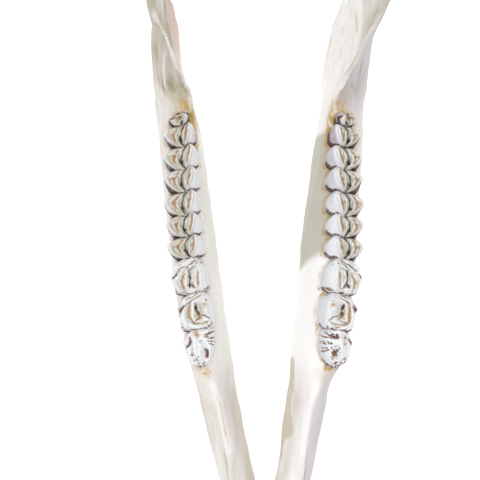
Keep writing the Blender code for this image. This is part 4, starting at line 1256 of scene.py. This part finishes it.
def bone_relief(points, normals, relief, side, seed):
    """Moves the bone's points along their normals: broad and fine unevenness, marks and strokes,
    muscle roughness at the angle, and raised scalloped rims round the teeth. Draws the front edge
    of the branch inwards. Gives the moved points, how golden the sockets' rims are, how far each
    point stands out, and the tints that the strokes leave: painted shade, painted light and gold."""
    x, y, z = points.T
    shift = 0.55 * ripples(points, 46, seed) + 0.28 * ripples(points, 17, seed + 1)
    stretched = points * (1, 0.22, 1)
    shift += 0.16 * ripples(stretched, 5.5, seed + 2)
    for mark in BONE_MARKS.values():
        away = ((points - mark.middle) / mark.size) ** 2
        shift += mark.height * np.exp(-away.sum(axis=1))
    tints = {tint: np.zeros(len(points)) for tint in ("ridge_light", "hollow", "gold")}
    for stroke in BONE_STROKES + SIDE_STROKES[side]:
        gap, share = from_line(points, np.array(stroke.path, float))
        near = bump(gap, 0, stroke.width) * (1 - np.abs(2 * share - 1) ** 6)
        shift += stroke.height * near
        tints[stroke.tint] = np.maximum(tints[stroke.tint], stroke.strength * near)
    rough = fade(y, 215, 250) * fade(z, 95, 20)
    shift += rough * (0.5 * ripples(points, 9, seed + 3) + 0.3 * ripples(points, 5, seed + 4))
    distance, tongue_side, notch = from_teeth(points)
    at_top = fade(z, socket_level(y) - 7, socket_level(y) - 1.5)
    scallop = 0.75 + 0.45 * ripples(points * (0.3, 1, 0.3), 9, seed + 5)
    shift += at_top * (0.85 * scallop * bump(distance, 1.7, 1.0) - 0.8 * bump(distance, -0.2, 0.8))
    moved = points + normals * (shift * relief)[:, None]
    gap, _ = from_line(points, np.array(BRANCH_EDGE, float))
    strip = bump(gap, 0, EDGE_STRIP) * fade(z, 76, 92) * fade(z, 190, 150)
    moved[:, 0] -= EDGE_INWARD[side] * strip
    moved[:, 0] = np.maximum(moved[:, 0], HALF_GAP)
    moved[:, 2] = np.maximum(moved[:, 2], 0)
    # The gold lies in loops that stand off further at each notch, and in arcs before the row.
    loop = 0.3 + bump(notch, 0, 2.6)
    on_wall = fade(z, socket_level(y) - 15, socket_level(y) - 7)
    rim = on_wall * bump(distance, loop, 0.6) * (0.15 + 0.85 * bump(notch, 0, 3.2))
    before = at_top * bump(y, -5.5, 4.5) * bump(x, 41, 6.5)
    arcs = 0.5 + 0.5 * np.cos(2 * np.pi * distance / 2.6)
    tints["gold"] = np.maximum(tints["gold"], 0.6 * before * arcs)
    return moved, rim * np.where(tongue_side, 1.0, 0.2), shift, tints


# The painted shade low on the bar's inner face ends at these heights, given at places along it: a
# scalloped edge on the left half and an even one on the right half.
BAR_SHADE_EDGE = {
    "left": (
        (-80, -67, -60, -54, -50, -43, -34, -26, -15, -7, 4),
        (16, 22, 24.4, 26.6, 32.4, 33.5, 31.0, 30.5, 32.0, 31.9, 31.0),
    ),
    "right": ((-82, -69, -55, -38, -25), (30.7, 29.8, 29.7, 31.8, 36.0)),
}


def gold_stains(points, rim, patches, side, seed):
    """Where the bone is golden: on the sockets' rims, behind, beside and before the tooth row, and
    in faint drifts on the left half's angle."""
    x, y, z = points.T
    behind_row = x - 49.5 - 0.35 * (y - 168)
    behind = bump(y, 169, 8.0) * bump(behind_row, 0, 4.4) * fade(z, 60, 72)
    beside = bump(y, 153, 16) * bump(x, 44.5, 3.0 if side == "left" else 2.2) * fade(z, 58, 70)
    before = 0.35 * bump(y, -4.5, 5.0) * bump(x, 41, 7) * fade(z, 44, 52)
    strength = 3.6 if side == "left" else 0.8 + 1.4 * fade(y, 125, 150)
    drifts = 0.26 * fade(ripples(points * (1, 0.5, 1), 9, seed + 9), 0.1, 1.0)
    drifts = drifts * fade(y, 185, 205) * fade(z, 90, 50) * (side == "left")
    return strength * rim * (0.4 + 0.6 * patches) + behind + beside + before + drifts


def olive_and_painted_shade(points, normals, shift, strokes, inner_face, side):
    """Where the bone is olive: painted shade where it is sunk, under the bar's inner face and in
    the strokes that are hollows, and olive on the front and the outer face of the branch."""
    _, y, z = points.T
    leaning = y - 0.25 * z
    # Painted shade where the bone is sunk.
    sunk_shade = np.clip(0.18 - 0.4 * shift, 0, 0.6) * (0.4 + 0.6 * fade(y, -60, 220))
    branch = 0.38 * fade(y, 165, 185) * fade(z, 65, 105) * fade(leaning, 220, 175)
    if side == "left":
        branch = branch * (1 - 0.85 * inner_face)
    else:
        branch = branch + 0.35 * inner_face * fade(y, 182, 202) * fade(z, 30, 55) * fade(z, 105, 65)
    outside = 0.42 * fade(normals[:, 0], -0.1, 0.5) * fade(y, 120, 175) * fade(z, 45, 90)
    outside = outside * fade(leaning, 205, 175)
    # Painted shade on the faces turned down, under the bar's inner face.
    shade_under = 0.55 * fade(normals[:, 2], 0.35, -0.1) * inner_face * fade(y, 150, 60)
    return np.maximum(sunk_shade + branch + outside + shade_under, strokes)


def branch_lilac_shade(points, normals, patches, strokes):
    """Where painted lilac shade lies on the outer face of the branch: outside its front edge, and
    fading backwards and downwards."""
    x, y, z = points.T
    edge = np.interp(z, *np.array(BRANCH_EDGE).T[[2, 0]])
    lilac_shade = fade(x - edge, 0.8, 2.4) * fade(y, 160, 175) * fade(y - 0.25 * z, 208, 180)
    lilac_shade = lilac_shade * fade(z - 8 * patches, 46, 72) * fade(normals[:, 0], -0.3, 0.3)
    return lilac_shade * (1 - 0.85 * strokes)


def side_tints(points, normals, patches, inner_face, side, seed):
    """The tints that differ between the halves: painted lilac shade and olive beside the bar's
    crest, painted shade below an edge on its inner face, a painted shadow behind a leaning front,
    and painted light on the faces that the light falls on most."""
    x, y, z = points.T
    crest_x, crest_y, _ = np.array(BAR_CREST)[::-1].T
    beyond = x - np.interp(y, crest_y, crest_x)
    on_bar = fade(y, 6, -14)
    edge = np.interp(y, *BAR_SHADE_EDGE[side]) + 0.5 * ripples(points, 7, seed + 6)
    nowhere = np.zeros(len(points))
    if side == "right":
        return {
            # Painted lilac shade beside the bar's crest.
            "lilac_shade": 0.2 * on_bar * fade(beyond, -1.0, -3.0) * fade(z, edge - 1, edge + 3),
            "hollow": 0.12 * on_bar * fade(beyond, 0.8, 2.5),
            # Painted shade below the edge on the bar's inner face.
            "bar_shade": 0.5 * fade(z, edge + 1.5, edge - 4) * fade(y, -6, -25) * inner_face,
            "painted_shadow": nowhere,
            # Painted light on the inner face.
            "pale": 0.6 * inner_face * fade(y, 165, 150) * fade(y, -30, 20),
        }
    # Painted shade below the scalloped edge on the bar's inner face.
    bar_shade = 0.85 * fade(z, edge + 0.6, edge - 0.6) * fade(y, -82, -66) * fade(y, 5, 0)
    # Painted light on the inner face before the leaning front and at the back, and on the bar.
    front = 57 + 0.3 * z
    rear = fade(y, 153, 158) * fade(z, 122, 95) * (0.8 + 0.2 * patches)
    pale = (fade(y, -40, 10) * fade(y, front + 4, front - 4) + rear) * inner_face
    bar = 0.3 * fade(y, 10, -45) * fade(normals[:, 0], 0.75, 0.35)
    return {
        # Painted lilac shade outside the bar's crest.
        "lilac_shade": 0.6 * on_bar * fade(beyond, 1.0, 3.5) * fade(z - 6 * patches, 8, 26),
        "hollow": nowhere,
        "bar_shade": bar_shade * inner_face,
        # A painted shadow on the inner face, behind a front that leans back as it rises.
        "painted_shadow": 0.85 * fade(y, front - 4, front + 5) * fade(y, 158, 153) * inner_face,
        "pale": np.maximum(pale, bar),
    }


def bone_masks(points, normals, rim, shift, tints, side, seed):
    """Where the bone is golden, olive with painted shade, lit by painted light along its ridges and
    on some faces, in a painted shadow, rosy, in painted lilac and beige shade, and where its fibres
    run upwards. Places are in millimetres on the left side, as in the tables."""
    _, y, z = points.T
    left = side == "left"
    patches = 0.5 + 0.5 * ripples(points, 11, seed + 7)
    inner_face = fade(normals[:, 0], 0.1, -0.3)
    angle = fade(y, 200, 222) * (fade(z, 90, 40) if left else fade(z, 62, 28))
    own = side_tints(points, normals, patches, inner_face, side, seed)
    strokes = np.maximum(tints["hollow"], tints["ridge_light"])
    lilac_shade = branch_lilac_shade(points, normals, patches, strokes) * left
    hollow = olive_and_painted_shade(points, normals, shift, tints["hollow"], inner_face, side)
    hollow = hollow * (1 - 0.45 * lilac_shade) * (1 - 0.7 * angle * (not left))
    gold = tints["gold"] * (1 - fade(y, 0, -8) * left)
    rosy = fade(ripples(points * (1, 0.3, 1), 30, seed + 8), -0.3, 0.9)
    pink = angle * (0.3 if left else 0.35 + 0.65 * inner_face)
    return {
        "socket": gold_stains(points, rim, patches, side, seed) + gold,
        "hollow": np.maximum(hollow, own["hollow"]),
        # Painted light along the ridges, fainter on the left half's branch.
        "ridge_light": tints["ridge_light"] * (1 - 0.7 * fade(y, 150, 170) * left),
        "painted_shadow": own["painted_shadow"],
        "pale": own["pale"] * (1 - own["bar_shade"]),
        "rosy": np.maximum(rosy * 0.25, pink),
        "lilac_shade": 0.8 * lilac_shade + own["lilac_shade"],
        "bar_shade": own["bar_shade"],
        "upright": fade(y, 175, 215) * fade(z, 55, 105),
    }


def new_group(name, inputs, outputs):
    """An empty shader node group with named sockets."""
    group = bpy.data.node_groups.new(name, "ShaderNodeTree")
    for label, kind, default in inputs:
        socket = group.interface.new_socket(label, in_out="INPUT", socket_type=kind)
        socket.default_value = default
    for label, kind in outputs:
        group.interface.new_socket(label, in_out="OUTPUT", socket_type=kind)
    entry = group.nodes.new("NodeGroupInput")
    leave = group.nodes.new("NodeGroupOutput")
    return group, entry, leave


def math_node(tree, operation, *values):
    """A Math node fed by numbers or sockets."""
    node = tree.nodes.new("ShaderNodeMath")
    node.operation = operation
    feed(tree, node.inputs, values)
    return node.outputs[0]


def times(tree, first, second):
    """Two numbers or sockets multiplied."""
    return math_node(tree, "MULTIPLY", first, second)


def feed(tree, sockets, values):
    """Links each value that is a socket, and sets each that is a number."""
    for socket, value in zip(sockets, values):
        if isinstance(value, bpy.types.NodeSocket):
            tree.links.new(value, socket)
        elif value is not None:
            socket.default_value = value


def noise(tree, place, scale, detail=3.0, roughness=0.5):
    """A noise texture at a place, as a number from 0 to 1."""
    node = tree.nodes.new("ShaderNodeTexNoise")
    feed(tree, (node.inputs["Vector"], node.inputs["Scale"]), (place, scale))
    node.inputs["Detail"].default_value = detail
    node.inputs["Roughness"].default_value = roughness
    return node.outputs["Fac"]


def stretch(tree, place, scale):
    """A place scaled by different factors along its axes."""
    node = tree.nodes.new("ShaderNodeMapping")
    node.inputs["Scale"].default_value = scale
    tree.links.new(place, node.inputs["Vector"])
    return node.outputs[0]


def between(tree, value, low, high, start=0.0, end=1.0):
    """A value's range mapped to another, held at its ends."""
    node = tree.nodes.new("ShaderNodeMapRange")
    feed(tree, node.inputs, (value, low, high, start, end))
    return node.outputs[0]


def blend(tree, amount, first, second, mode="MIX"):
    """Two colours mixed by an amount."""
    node = tree.nodes.new("ShaderNodeMix")
    node.data_type = "RGBA"
    node.blend_type = mode
    feed(tree, (node.inputs[0], node.inputs[6], node.inputs[7]), (amount, first, second))
    return node.outputs[2]


def mask_of(tree, name):
    """A piece's own mask."""
    node = tree.nodes.new("ShaderNodeAttribute")
    node.attribute_name = name
    return node.outputs["Fac"]


def object_place(tree):
    """Object coordinates."""
    return tree.nodes.new("ShaderNodeTexCoord").outputs["Object"]


def rgba(values):
    """A property's colour with full cover."""
    return (*values, 1.0)


def along_fibres(tree, place, upright):
    """A place whose y runs along the fibres: backwards in the bar, and upwards where upright."""
    turn = tree.nodes.new("ShaderNodeVectorRotate")
    turn.rotation_type = "X_AXIS"
    angle = times(tree, upright, -1.3)
    feed(tree, (turn.inputs["Vector"], turn.inputs["Center"]), (place, (0, 0.15, 0.05)))
    tree.links.new(angle, turn.inputs["Angle"])
    return turn.outputs[0]


def streaks_group():
    """Fine lengthwise fibres of bone or enamel: noise drawn out along y, and a height for it."""
    if "streaks" in bpy.data.node_groups:
        return bpy.data.node_groups["streaks"]
    group, entry, leave = new_group(
        "streaks",
        (
            ("Place", "NodeSocketVector", (0, 0, 0)),
            ("Fineness", "NodeSocketFloat", 260.0),
            ("Strength", "NodeSocketFloat", 1.0),
        ),
        (("Streaks", "NodeSocketFloat"), ("Height", "NodeSocketFloat")),
    )
    drawn = stretch(group, entry.outputs["Place"], (1.0, 0.10, 1.0))
    wide = noise(group, drawn, entry.outputs["Fineness"], 4.0, 0.62)
    finer = times(group, entry.outputs["Fineness"], 3.1)
    fine = noise(group, drawn, finer, 2.0)
    both = math_node(group, "MULTIPLY_ADD", fine, 0.4, times(group, wide, 0.6))
    shown = between(group, both, 0.35, 0.65)
    strong = times(group, shown, entry.outputs["Strength"])
    group.links.new(strong, leave.inputs["Streaks"])
    group.links.new(both, leave.inputs["Height"])
    return group


def pores_group():
    """Small dark pores: the middles of Voronoi cells, thinned by a slow noise."""
    if "pores" in bpy.data.node_groups:
        return bpy.data.node_groups["pores"]
    group, entry, leave = new_group(
        "pores",
        (
            ("Place", "NodeSocketVector", (0, 0, 0)),
            ("Fineness", "NodeSocketFloat", 420.0),
            ("Amount", "NodeSocketFloat", 0.5),
        ),
        (("Pores", "NodeSocketFloat"),),
    )
    cells = group.nodes.new("ShaderNodeTexVoronoi")
    feed(
        group,
        (cells.inputs["Vector"], cells.inputs["Scale"]),
        (entry.outputs["Place"], entry.outputs["Fineness"]),
    )
    dots = between(group, cells.outputs["Distance"], 0.10, 0.26, 1.0, 0.0)
    slow = times(group, entry.outputs["Fineness"], 0.14)
    where = noise(group, entry.outputs["Place"], slow, 2.0)
    spots = between(group, where, 0.52, 0.66)
    shown = times(group, times(group, dots, spots), entry.outputs["Amount"])
    group.links.new(shown, leave.inputs["Pores"])
    return group


def use_group(tree, group, **values):
    """A group placed in a material with its own values."""
    node = tree.nodes.new("ShaderNodeGroup")
    node.node_tree = group
    for label, value in values.items():
        feed(tree, (node.inputs[label],), (value,))
    return node


def new_material(name):
    """A material with an empty tree but for its shader."""
    material = bpy.data.materials.new(name)
    material.use_nodes = True
    return material, material.node_tree, material.node_tree.nodes["Principled BSDF"]


def fine_relief(tree, shader, height, strength, distance):
    """A bump on a shader's normal. Its distance is in metres."""
    relief = tree.nodes.new("ShaderNodeBump")
    relief.inputs["Strength"].default_value = strength
    relief.inputs["Distance"].default_value = distance
    tree.links.new(height, relief.inputs["Height"])
    tree.links.new(relief.outputs[0], shader.inputs["Normal"])


def bone_material(colours):
    """Dry bone: cream with rosy and olive drifts, fine fibres, pores, and gold at the sockets, with
    painted shade, a painted shadow and painted light on some faces.
    """
    material, tree, shader = new_material("dry_bone")
    place = object_place(tree)
    upright = mask_of(tree, "upright")
    fibres = along_fibres(tree, place, upright)
    # The fibres are weaker where they turn from backwards to upwards.
    turning = times(tree, upright, math_node(tree, "SUBTRACT", 1.0, upright))
    straight = between(tree, turning, 0.0, 0.25, 1.0, 0.25)
    streaks = use_group(tree, streaks_group(), Place=fibres, Fineness=230.0, Strength=straight)
    long_streaks = use_group(tree, streaks_group(), Place=fibres, Fineness=75.0, Strength=straight)
    pores = use_group(tree, pores_group(), Place=place, Fineness=520.0, Amount=0.8)

    rosy = times(tree, mask_of(tree, "rosy"), 0.9)
    surface = blend(tree, rosy, rgba(colours.bone), rgba(colours.bone_rose))
    drift = between(tree, noise(tree, place, 14.0, 3.0), 0.4, 0.62)
    # The olive is painted shade from the hollow mask, with the bone's own fibres; the painted light
    # of the ridges takes it off.
    olive_shade = times(tree, mask_of(tree, "hollow"), between(tree, drift, 0.0, 1.0, 0.55, 1.0))
    olive_shade = math_node(tree, "MULTIPLY_ADD", streaks.outputs["Streaks"], 0.12, olive_shade)
    olive_shade = math_node(tree, "MULTIPLY_ADD", long_streaks.outputs["Streaks"], 0.22, olive_shade)
    olive_shade = math_node(tree, "SUBTRACT", olive_shade, mask_of(tree, "ridge_light"))
    surface = blend(tree, olive_shade, surface, rgba(colours.bone_shade))
    # Painted shadow, painted light, painted lilac shade and painted beige shade, one after another.
    for mask, tint in (
        ("painted_shadow", colours.bone_painted_shadow),
        ("pale", colours.bone_pale),
        ("lilac_shade", colours.bone_lilac_shade),
        ("bar_shade", colours.bone_bar_shade),
    ):
        surface = blend(tree, mask_of(tree, mask), surface, rgba(tint))
    mottle = noise(tree, stretch(tree, place, (1.0, 0.5, 1.0)), 300.0, 4.0, 0.6)
    gold = times(tree, mask_of(tree, "socket"), between(tree, mottle, 0.38, 0.6))
    gold = math_node(tree, "MULTIPLY_ADD", mask_of(tree, "socket"), 0.35, gold)
    surface = blend(tree, between(tree, gold, 0.0, 1.1), surface, rgba(colours.socket))
    dark = times(tree, pores.outputs["Pores"], 0.55)
    surface = blend(tree, dark, surface, rgba(colours.bone_shade))
    tree.links.new(surface, shader.inputs["Base Color"])

    rough = between(tree, streaks.outputs["Height"], 0.3, 0.7, 0.46, 0.66)
    tree.links.new(rough, shader.inputs["Roughness"])
    shader.inputs["Specular IOR Level"].default_value = 0.4
    grain = math_node(tree, "SUBTRACT", streaks.outputs["Height"], pores.outputs["Pores"])
    fine_relief(tree, shader, grain, 0.5, 0.4 * MM)
    return material


def tooth_material(colours):
    """Enamel with cream biting faces, brown dentine, dark grooves and stained walls, with painted
    shade in its hollows, notches and low walls, and a painted highlight on its crests.
    """
    material, tree, shader = new_material("worn_enamel")
    place = object_place(tree)
    streaks = use_group(tree, streaks_group(), Place=place, Fineness=500.0, Strength=1.0)
    mottle = between(tree, noise(tree, place, 420.0, 3.0, 0.6), 0.34, 0.62)
    uneven = between(tree, mottle, 0.0, 1.0, 0.7, 1.0)

    drift = between(tree, noise(tree, place, 160.0, 3.0), 0.3, 0.7, 0.4, 1.0)
    cream = times(tree, mask_of(tree, "face"), drift)
    surface = blend(tree, cream, rgba(colours.enamel), rgba(colours.enamel_cream))
    # Painted shade on the walls by the bone.
    surface = blend(tree, mask_of(tree, "wall_shade"), surface, rgba(colours.enamel_wall_shade))
    layered = times(tree, mask_of(tree, "layer"), 0.8)
    surface = blend(tree, layered, surface, rgba(colours.layer))
    # Painted shade in the enamel's hollows.
    sunk_shade = times(tree, mask_of(tree, "cavity_shade"), 0.75)
    surface = blend(tree, sunk_shade, surface, rgba(colours.cavity_shade))
    brown = between(tree, times(tree, mask_of(tree, "dentine"), uneven), 0.12, 0.95)
    surface = blend(tree, brown, surface, rgba(colours.dentine))
    stained = between(tree, times(tree, mask_of(tree, "stain"), uneven), 0.1, 0.6)
    surface = blend(tree, stained, surface, rgba(colours.stain))
    rusty = between(tree, times(tree, mask_of(tree, "rust"), uneven), 0.12, 0.7)
    surface = blend(tree, rusty, surface, rgba(colours.rust))
    # Where the deepest hollows are stained, their painted shade goes darker still, to the grooves'
    # colour.
    deep = between(tree, mask_of(tree, "cavity_shade"), 0.5, 1.0, 0.0, 0.45)
    dark = between(tree, mask_of(tree, "groove"), 0.25, 0.85)
    dark = math_node(tree, "MAXIMUM", dark, times(tree, stained, deep))
    surface = blend(tree, dark, surface, rgba(colours.groove))
    # The crests' white, partly a painted highlight.
    crest_highlight = times(tree, mask_of(tree, "crest"), 0.8)
    surface = blend(tree, crest_highlight, surface, rgba(colours.crest))
    gold = times(tree, mask_of(tree, "neck"), 0.5)
    surface = blend(tree, gold, surface, rgba(colours.socket))
    tree.links.new(surface, shader.inputs["Base Color"])

    tree.links.new(between(tree, stained, 0.0, 1.0, 0.32, 0.75), shader.inputs["Roughness"])
    shader.inputs["Specular IOR Level"].default_value = 0.3
    fine_relief(tree, shader, streaks.outputs["Height"], 0.35, 0.2 * MM)
    return material


class JAW_OT_bone_halves(bpy.types.Operator):
    """Makes the two halves of the bone"""

    bl_idname = "jaw.bone_halves"
    bl_label = "Bone halves"

    def execute(self, context):
        sizes = context.scene.jaw_sizes
        material = bone_material(context.scene.jaw_colours)
        points, faces, normals = fused_bone(sizes.bone_step)
        for side, seed in BONE_SEEDS.items():
            moved, rim, shift, tints = bone_relief(points, normals, sizes.relief, side, seed)
            masks = bone_masks(points, normals, rim, shift, tints, side, seed)
            piece = new_piece(side, "bone", moved, faces, masks, material)
            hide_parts(f"{side}_jawbone")
        return {"FINISHED"}


class JAW_OT_cheek_teeth(bpy.types.Operator):
    """Makes the premolars and molars of both rows"""

    bl_idname = "jaw.cheek_teeth"
    bl_label = "Cheek teeth"

    def execute(self, context):
        material = tooth_material(context.scene.jaw_colours)
        relief = context.scene.jaw_sizes.relief
        for side, seed in TOOTH_SEEDS.items():
            for number, (name, tooth) in enumerate(CHEEK_TEETH.items()):
                draw = np.random.default_rng(seed + number)
                points, faces, masks = closed(*crown(tooth, side, draw))
                uneven = ripples(points, 4.5, seed + number) + 0.5 * ripples(points, 2.2, seed + 50)
                middle = points.mean(axis=0)
                points += (points - middle) * (0.010 * relief * uneven)[:, None]
                new_piece(side, name, points, faces, masks, material)
        return {"FINISHED"}


def arcade_point(distance, arc):
    """Where a point lies on the front arc, so far from the jaw's middle along the tips: both arcs
    are quarter ellipses, and the angle is the one at which the tips' arc is so long."""
    turn = np.linspace(0, np.pi / 2, 200)
    tips = np.stack([TIP_ARC[0] * np.sin(turn), -TIP_ARC[1] * np.cos(turn)], axis=-1)
    travel = np.concatenate([[0], np.cumsum(np.hypot(*np.diff(tips, axis=0).T))])
    angle = np.interp(distance, travel, turn)
    return np.array([arc[0] * np.sin(angle), ARCADE_CENTRE_Y - arc[1] * np.cos(angle)])


def front_tooth(start, width, length, notch):
    """Rings across one spade-shaped front tooth, from its inner edge to its outer edge, and its
    masks. Its side outline is carried across, rounded by the root of 1 minus 0.8 u squared."""
    root = arcade_point(start + width / 2, SOCKET_ARC)
    tip = arcade_point(start + width / 2, TIP_ARC)
    forward = (tip - root) / np.linalg.norm(tip - root)
    rise = math.radians(FRONT_RISE)
    axis = np.array([*(forward * math.cos(rise)), math.sin(rise)])
    across = np.array([-forward[1], forward[0], 0.0])
    face = np.cross(across, axis)
    base = np.array([*root, SOCKET_ARC_Z])
    knots = np.linspace(0, 1, len(FRONT_OUTLINE))
    outline = smooth_through(knots, FRONT_OUTLINE, np.linspace(0, 1, FRONT_POINTS))
    level, wide, deep = outline.T[:, None, :]
    u = np.sin(np.linspace(-1, 1, FRONT_RINGS) * np.pi / 2)[:, None]
    tip_reach = length * (1 - 0.22 * np.abs(u) ** 3) - notch * np.exp(-(((u - 0.25) / 0.2) ** 2))
    reach_up = np.where(level > 0, tip_reach, length)
    round_edge = np.sqrt(1 - 0.8 * u**2)
    sideways = u * width / 2 * wide
    thick = FRONT_THICKNESS * deep * round_edge
    rings = (
        base
        + axis * (reach_up * level)[..., None]
        + across * sideways[..., None]
        + face * thick[..., None]
    )
    level = level + 0 * u
    lip_side = deep > 0
    masks = {
        "dentine": bump(level, 0.97, 0.05) * bump(u, 0, 0.6) * 0.9,
        # The side edges are darkened in the stain's colour as painted shade; the band low down is
        # stain.
        "stain": 0.5 * fade(np.abs(u), 0.75, 1.0) * (level > 0.1) + 0.3 * bump(level, 0.12, 0.1),
        "face": 0.35 * fade(level, 0.5, 0.9) * np.where(lip_side, 0.3, 1.0),
        "neck": fade(level, 0.2, -0.05),
    }
    return rings, masks


class JAW_OT_front_teeth(bpy.types.Operator):
    """Makes the incisors and the two-lobed canine of both halves"""

    bl_idname = "jaw.front_teeth"
    bl_label = "Front teeth"

    def execute(self, context):
        material = bpy.data.materials.get("worn_enamel")
        material = material or tooth_material(context.scene.jaw_colours)
        for side in ("left", "right"):
            start = FRONT_START
            for number, (width, length) in enumerate(zip(FRONT_WIDTHS, FRONT_LENGTHS), 1):
                canine = number == len(FRONT_WIDTHS)
                name = "canine" if canine else f"incisor_{number}"
                notch = CANINE_NOTCH if canine else 0.0
                shape = front_tooth(start, width - FRONT_SPACE, length, notch)
                points, faces, masks = closed(*shape)
                points[:, 0] = np.maximum(points[:, 0], HALF_GAP)
                new_piece(side, name, points, faces, masks, material)
                start += width
        return {"FINISHED"}


def area_light(name, place, aim, size, power, tint=(1, 1, 1)):
    """A soft square light that the camera doesn't see."""
    data = bpy.data.lights.new(name, "AREA")
    data.shape = "SQUARE"
    data.size = size
    data.energy = power
    data.color = tint
    light = bpy.data.objects.new(name, data)
    bpy.context.scene.collection.objects.link(light)
    towards = np.array(aim, float) - np.array(place, float)
    flat = math.hypot(towards[0], towards[1])
    light.location = place
    light.rotation_euler = (
        math.atan2(flat, -towards[2]),
        0.0,
        math.atan2(towards[1], towards[0]) - math.pi / 2,
    )
    light.visible_camera = False


class JAW_OT_stage(bpy.types.Operator):
    """Sets the floor, the lights and the camera"""

    bl_idname = "jaw.stage"
    bl_label = "Stage"

    def execute(self, context):
        sizes, colours = context.scene.jaw_sizes, context.scene.jaw_colours
        material, _, shader = new_material("studio_floor")
        shader.inputs["Base Color"].default_value = rgba(colours.floor)
        shader.inputs["Roughness"].default_value = 0.9
        shader.inputs["Emission Color"].default_value = (1, 1, 1, 1)
        shader.inputs["Emission Strength"].default_value = 0.66
        mesh = bpy.data.meshes.new("floor")
        ends = ((-1, -1), (1, -1), (1, 1), (-1, 1))
        corners = [(x * FLOOR_HALF, y * FLOOR_HALF, FLOOR_LEVEL) for x, y in ends]
        mesh.from_pydata(corners, [], [(0, 1, 2, 3)])
        mesh.materials.append(material)
        floor = bpy.data.objects.new("floor", mesh)
        context.scene.collection.objects.link(floor)

        world = bpy.data.worlds.new("studio")
        context.scene.world = world
        world.use_nodes = True
        background = world.node_tree.nodes["Background"]
        background.inputs["Color"].default_value = (0.95, 0.97, 1.0, 1.0)
        background.inputs["Strength"].default_value = 0.52
        area_light("key", (0.25, 0.3, 1.4), (0, 0.05, 0.05), 0.6, 9.0, (1.0, 0.99, 0.97))
        area_light("fill", (-0.8, -0.3, 1.3), (0, 0, 0.05), 1.2, 8.0, (0.97, 0.98, 1.0))

        camera = bpy.data.cameras.new("camera")
        camera.sensor_fit = "HORIZONTAL"
        camera.sensor_width = SENSOR
        camera.lens = SENSOR * sizes.camera_height / (PHOTO_MM * MM)
        camera.shift_x = (PHOTO_CENTRE[0] - CAMERA_X) / PHOTO_MM
        camera.clip_start = 0.01
        camera.clip_end = 20.0
        holder = bpy.data.objects.new("camera", camera)
        context.scene.collection.objects.link(holder)
        holder.location = (
            CAMERA_X * MM,
            (PHOTO_CENTRE[1] - ORIGIN_Y) * MM,
            TOOTH_PLANE * MM + sizes.camera_height,
        )
        holder.rotation_euler = (0, 0, math.radians(CAMERA_TURN))
        context.scene.camera = holder
        context.scene.view_settings.view_transform = "Standard"
        return {"FINISHED"}


STEPS = (JAW_OT_stage, JAW_OT_bone_halves, JAW_OT_cheek_teeth, JAW_OT_front_teeth)


class JAW_PT_panel(bpy.types.Panel):
    """Lists the sizes, the colours and the steps"""

    bl_idname = "JAW_PT_panel"
    bl_label = "Giraffe Lower Jaw"
    bl_space_type = "VIEW_3D"
    bl_region_type = "UI"
    bl_category = "Jaw"

    def draw(self, context):
        for settings in (context.scene.jaw_sizes, context.scene.jaw_colours):
            for name in settings.__annotations__:
                self.layout.prop(settings, name)
        for step in STEPS:
            self.layout.operator(step.bl_idname)


CLASSES = (JawSizes, JawColours, *STEPS, JAW_PT_panel)


def register():
    """Registers the classes and hangs their settings on the scene."""
    for item in CLASSES:
        bpy.utils.register_class(item)
    bpy.types.Scene.jaw_sizes = bpy.props.PointerProperty(type=JawSizes)
    bpy.types.Scene.jaw_colours = bpy.props.PointerProperty(type=JawColours)


def unregister():
    """Takes back what register did."""
    del bpy.types.Scene.jaw_colours
    del bpy.types.Scene.jaw_sizes
    for item in reversed(CLASSES):
        bpy.utils.unregister_class(item)


def main():
    """Runs the steps in order."""
    register()
    bpy.ops.jaw.stage()
    bpy.ops.jaw.bone_halves()
    bpy.ops.jaw.cheek_teeth()
    bpy.ops.jaw.front_teeth()


if __name__ == "__main__":
    main()
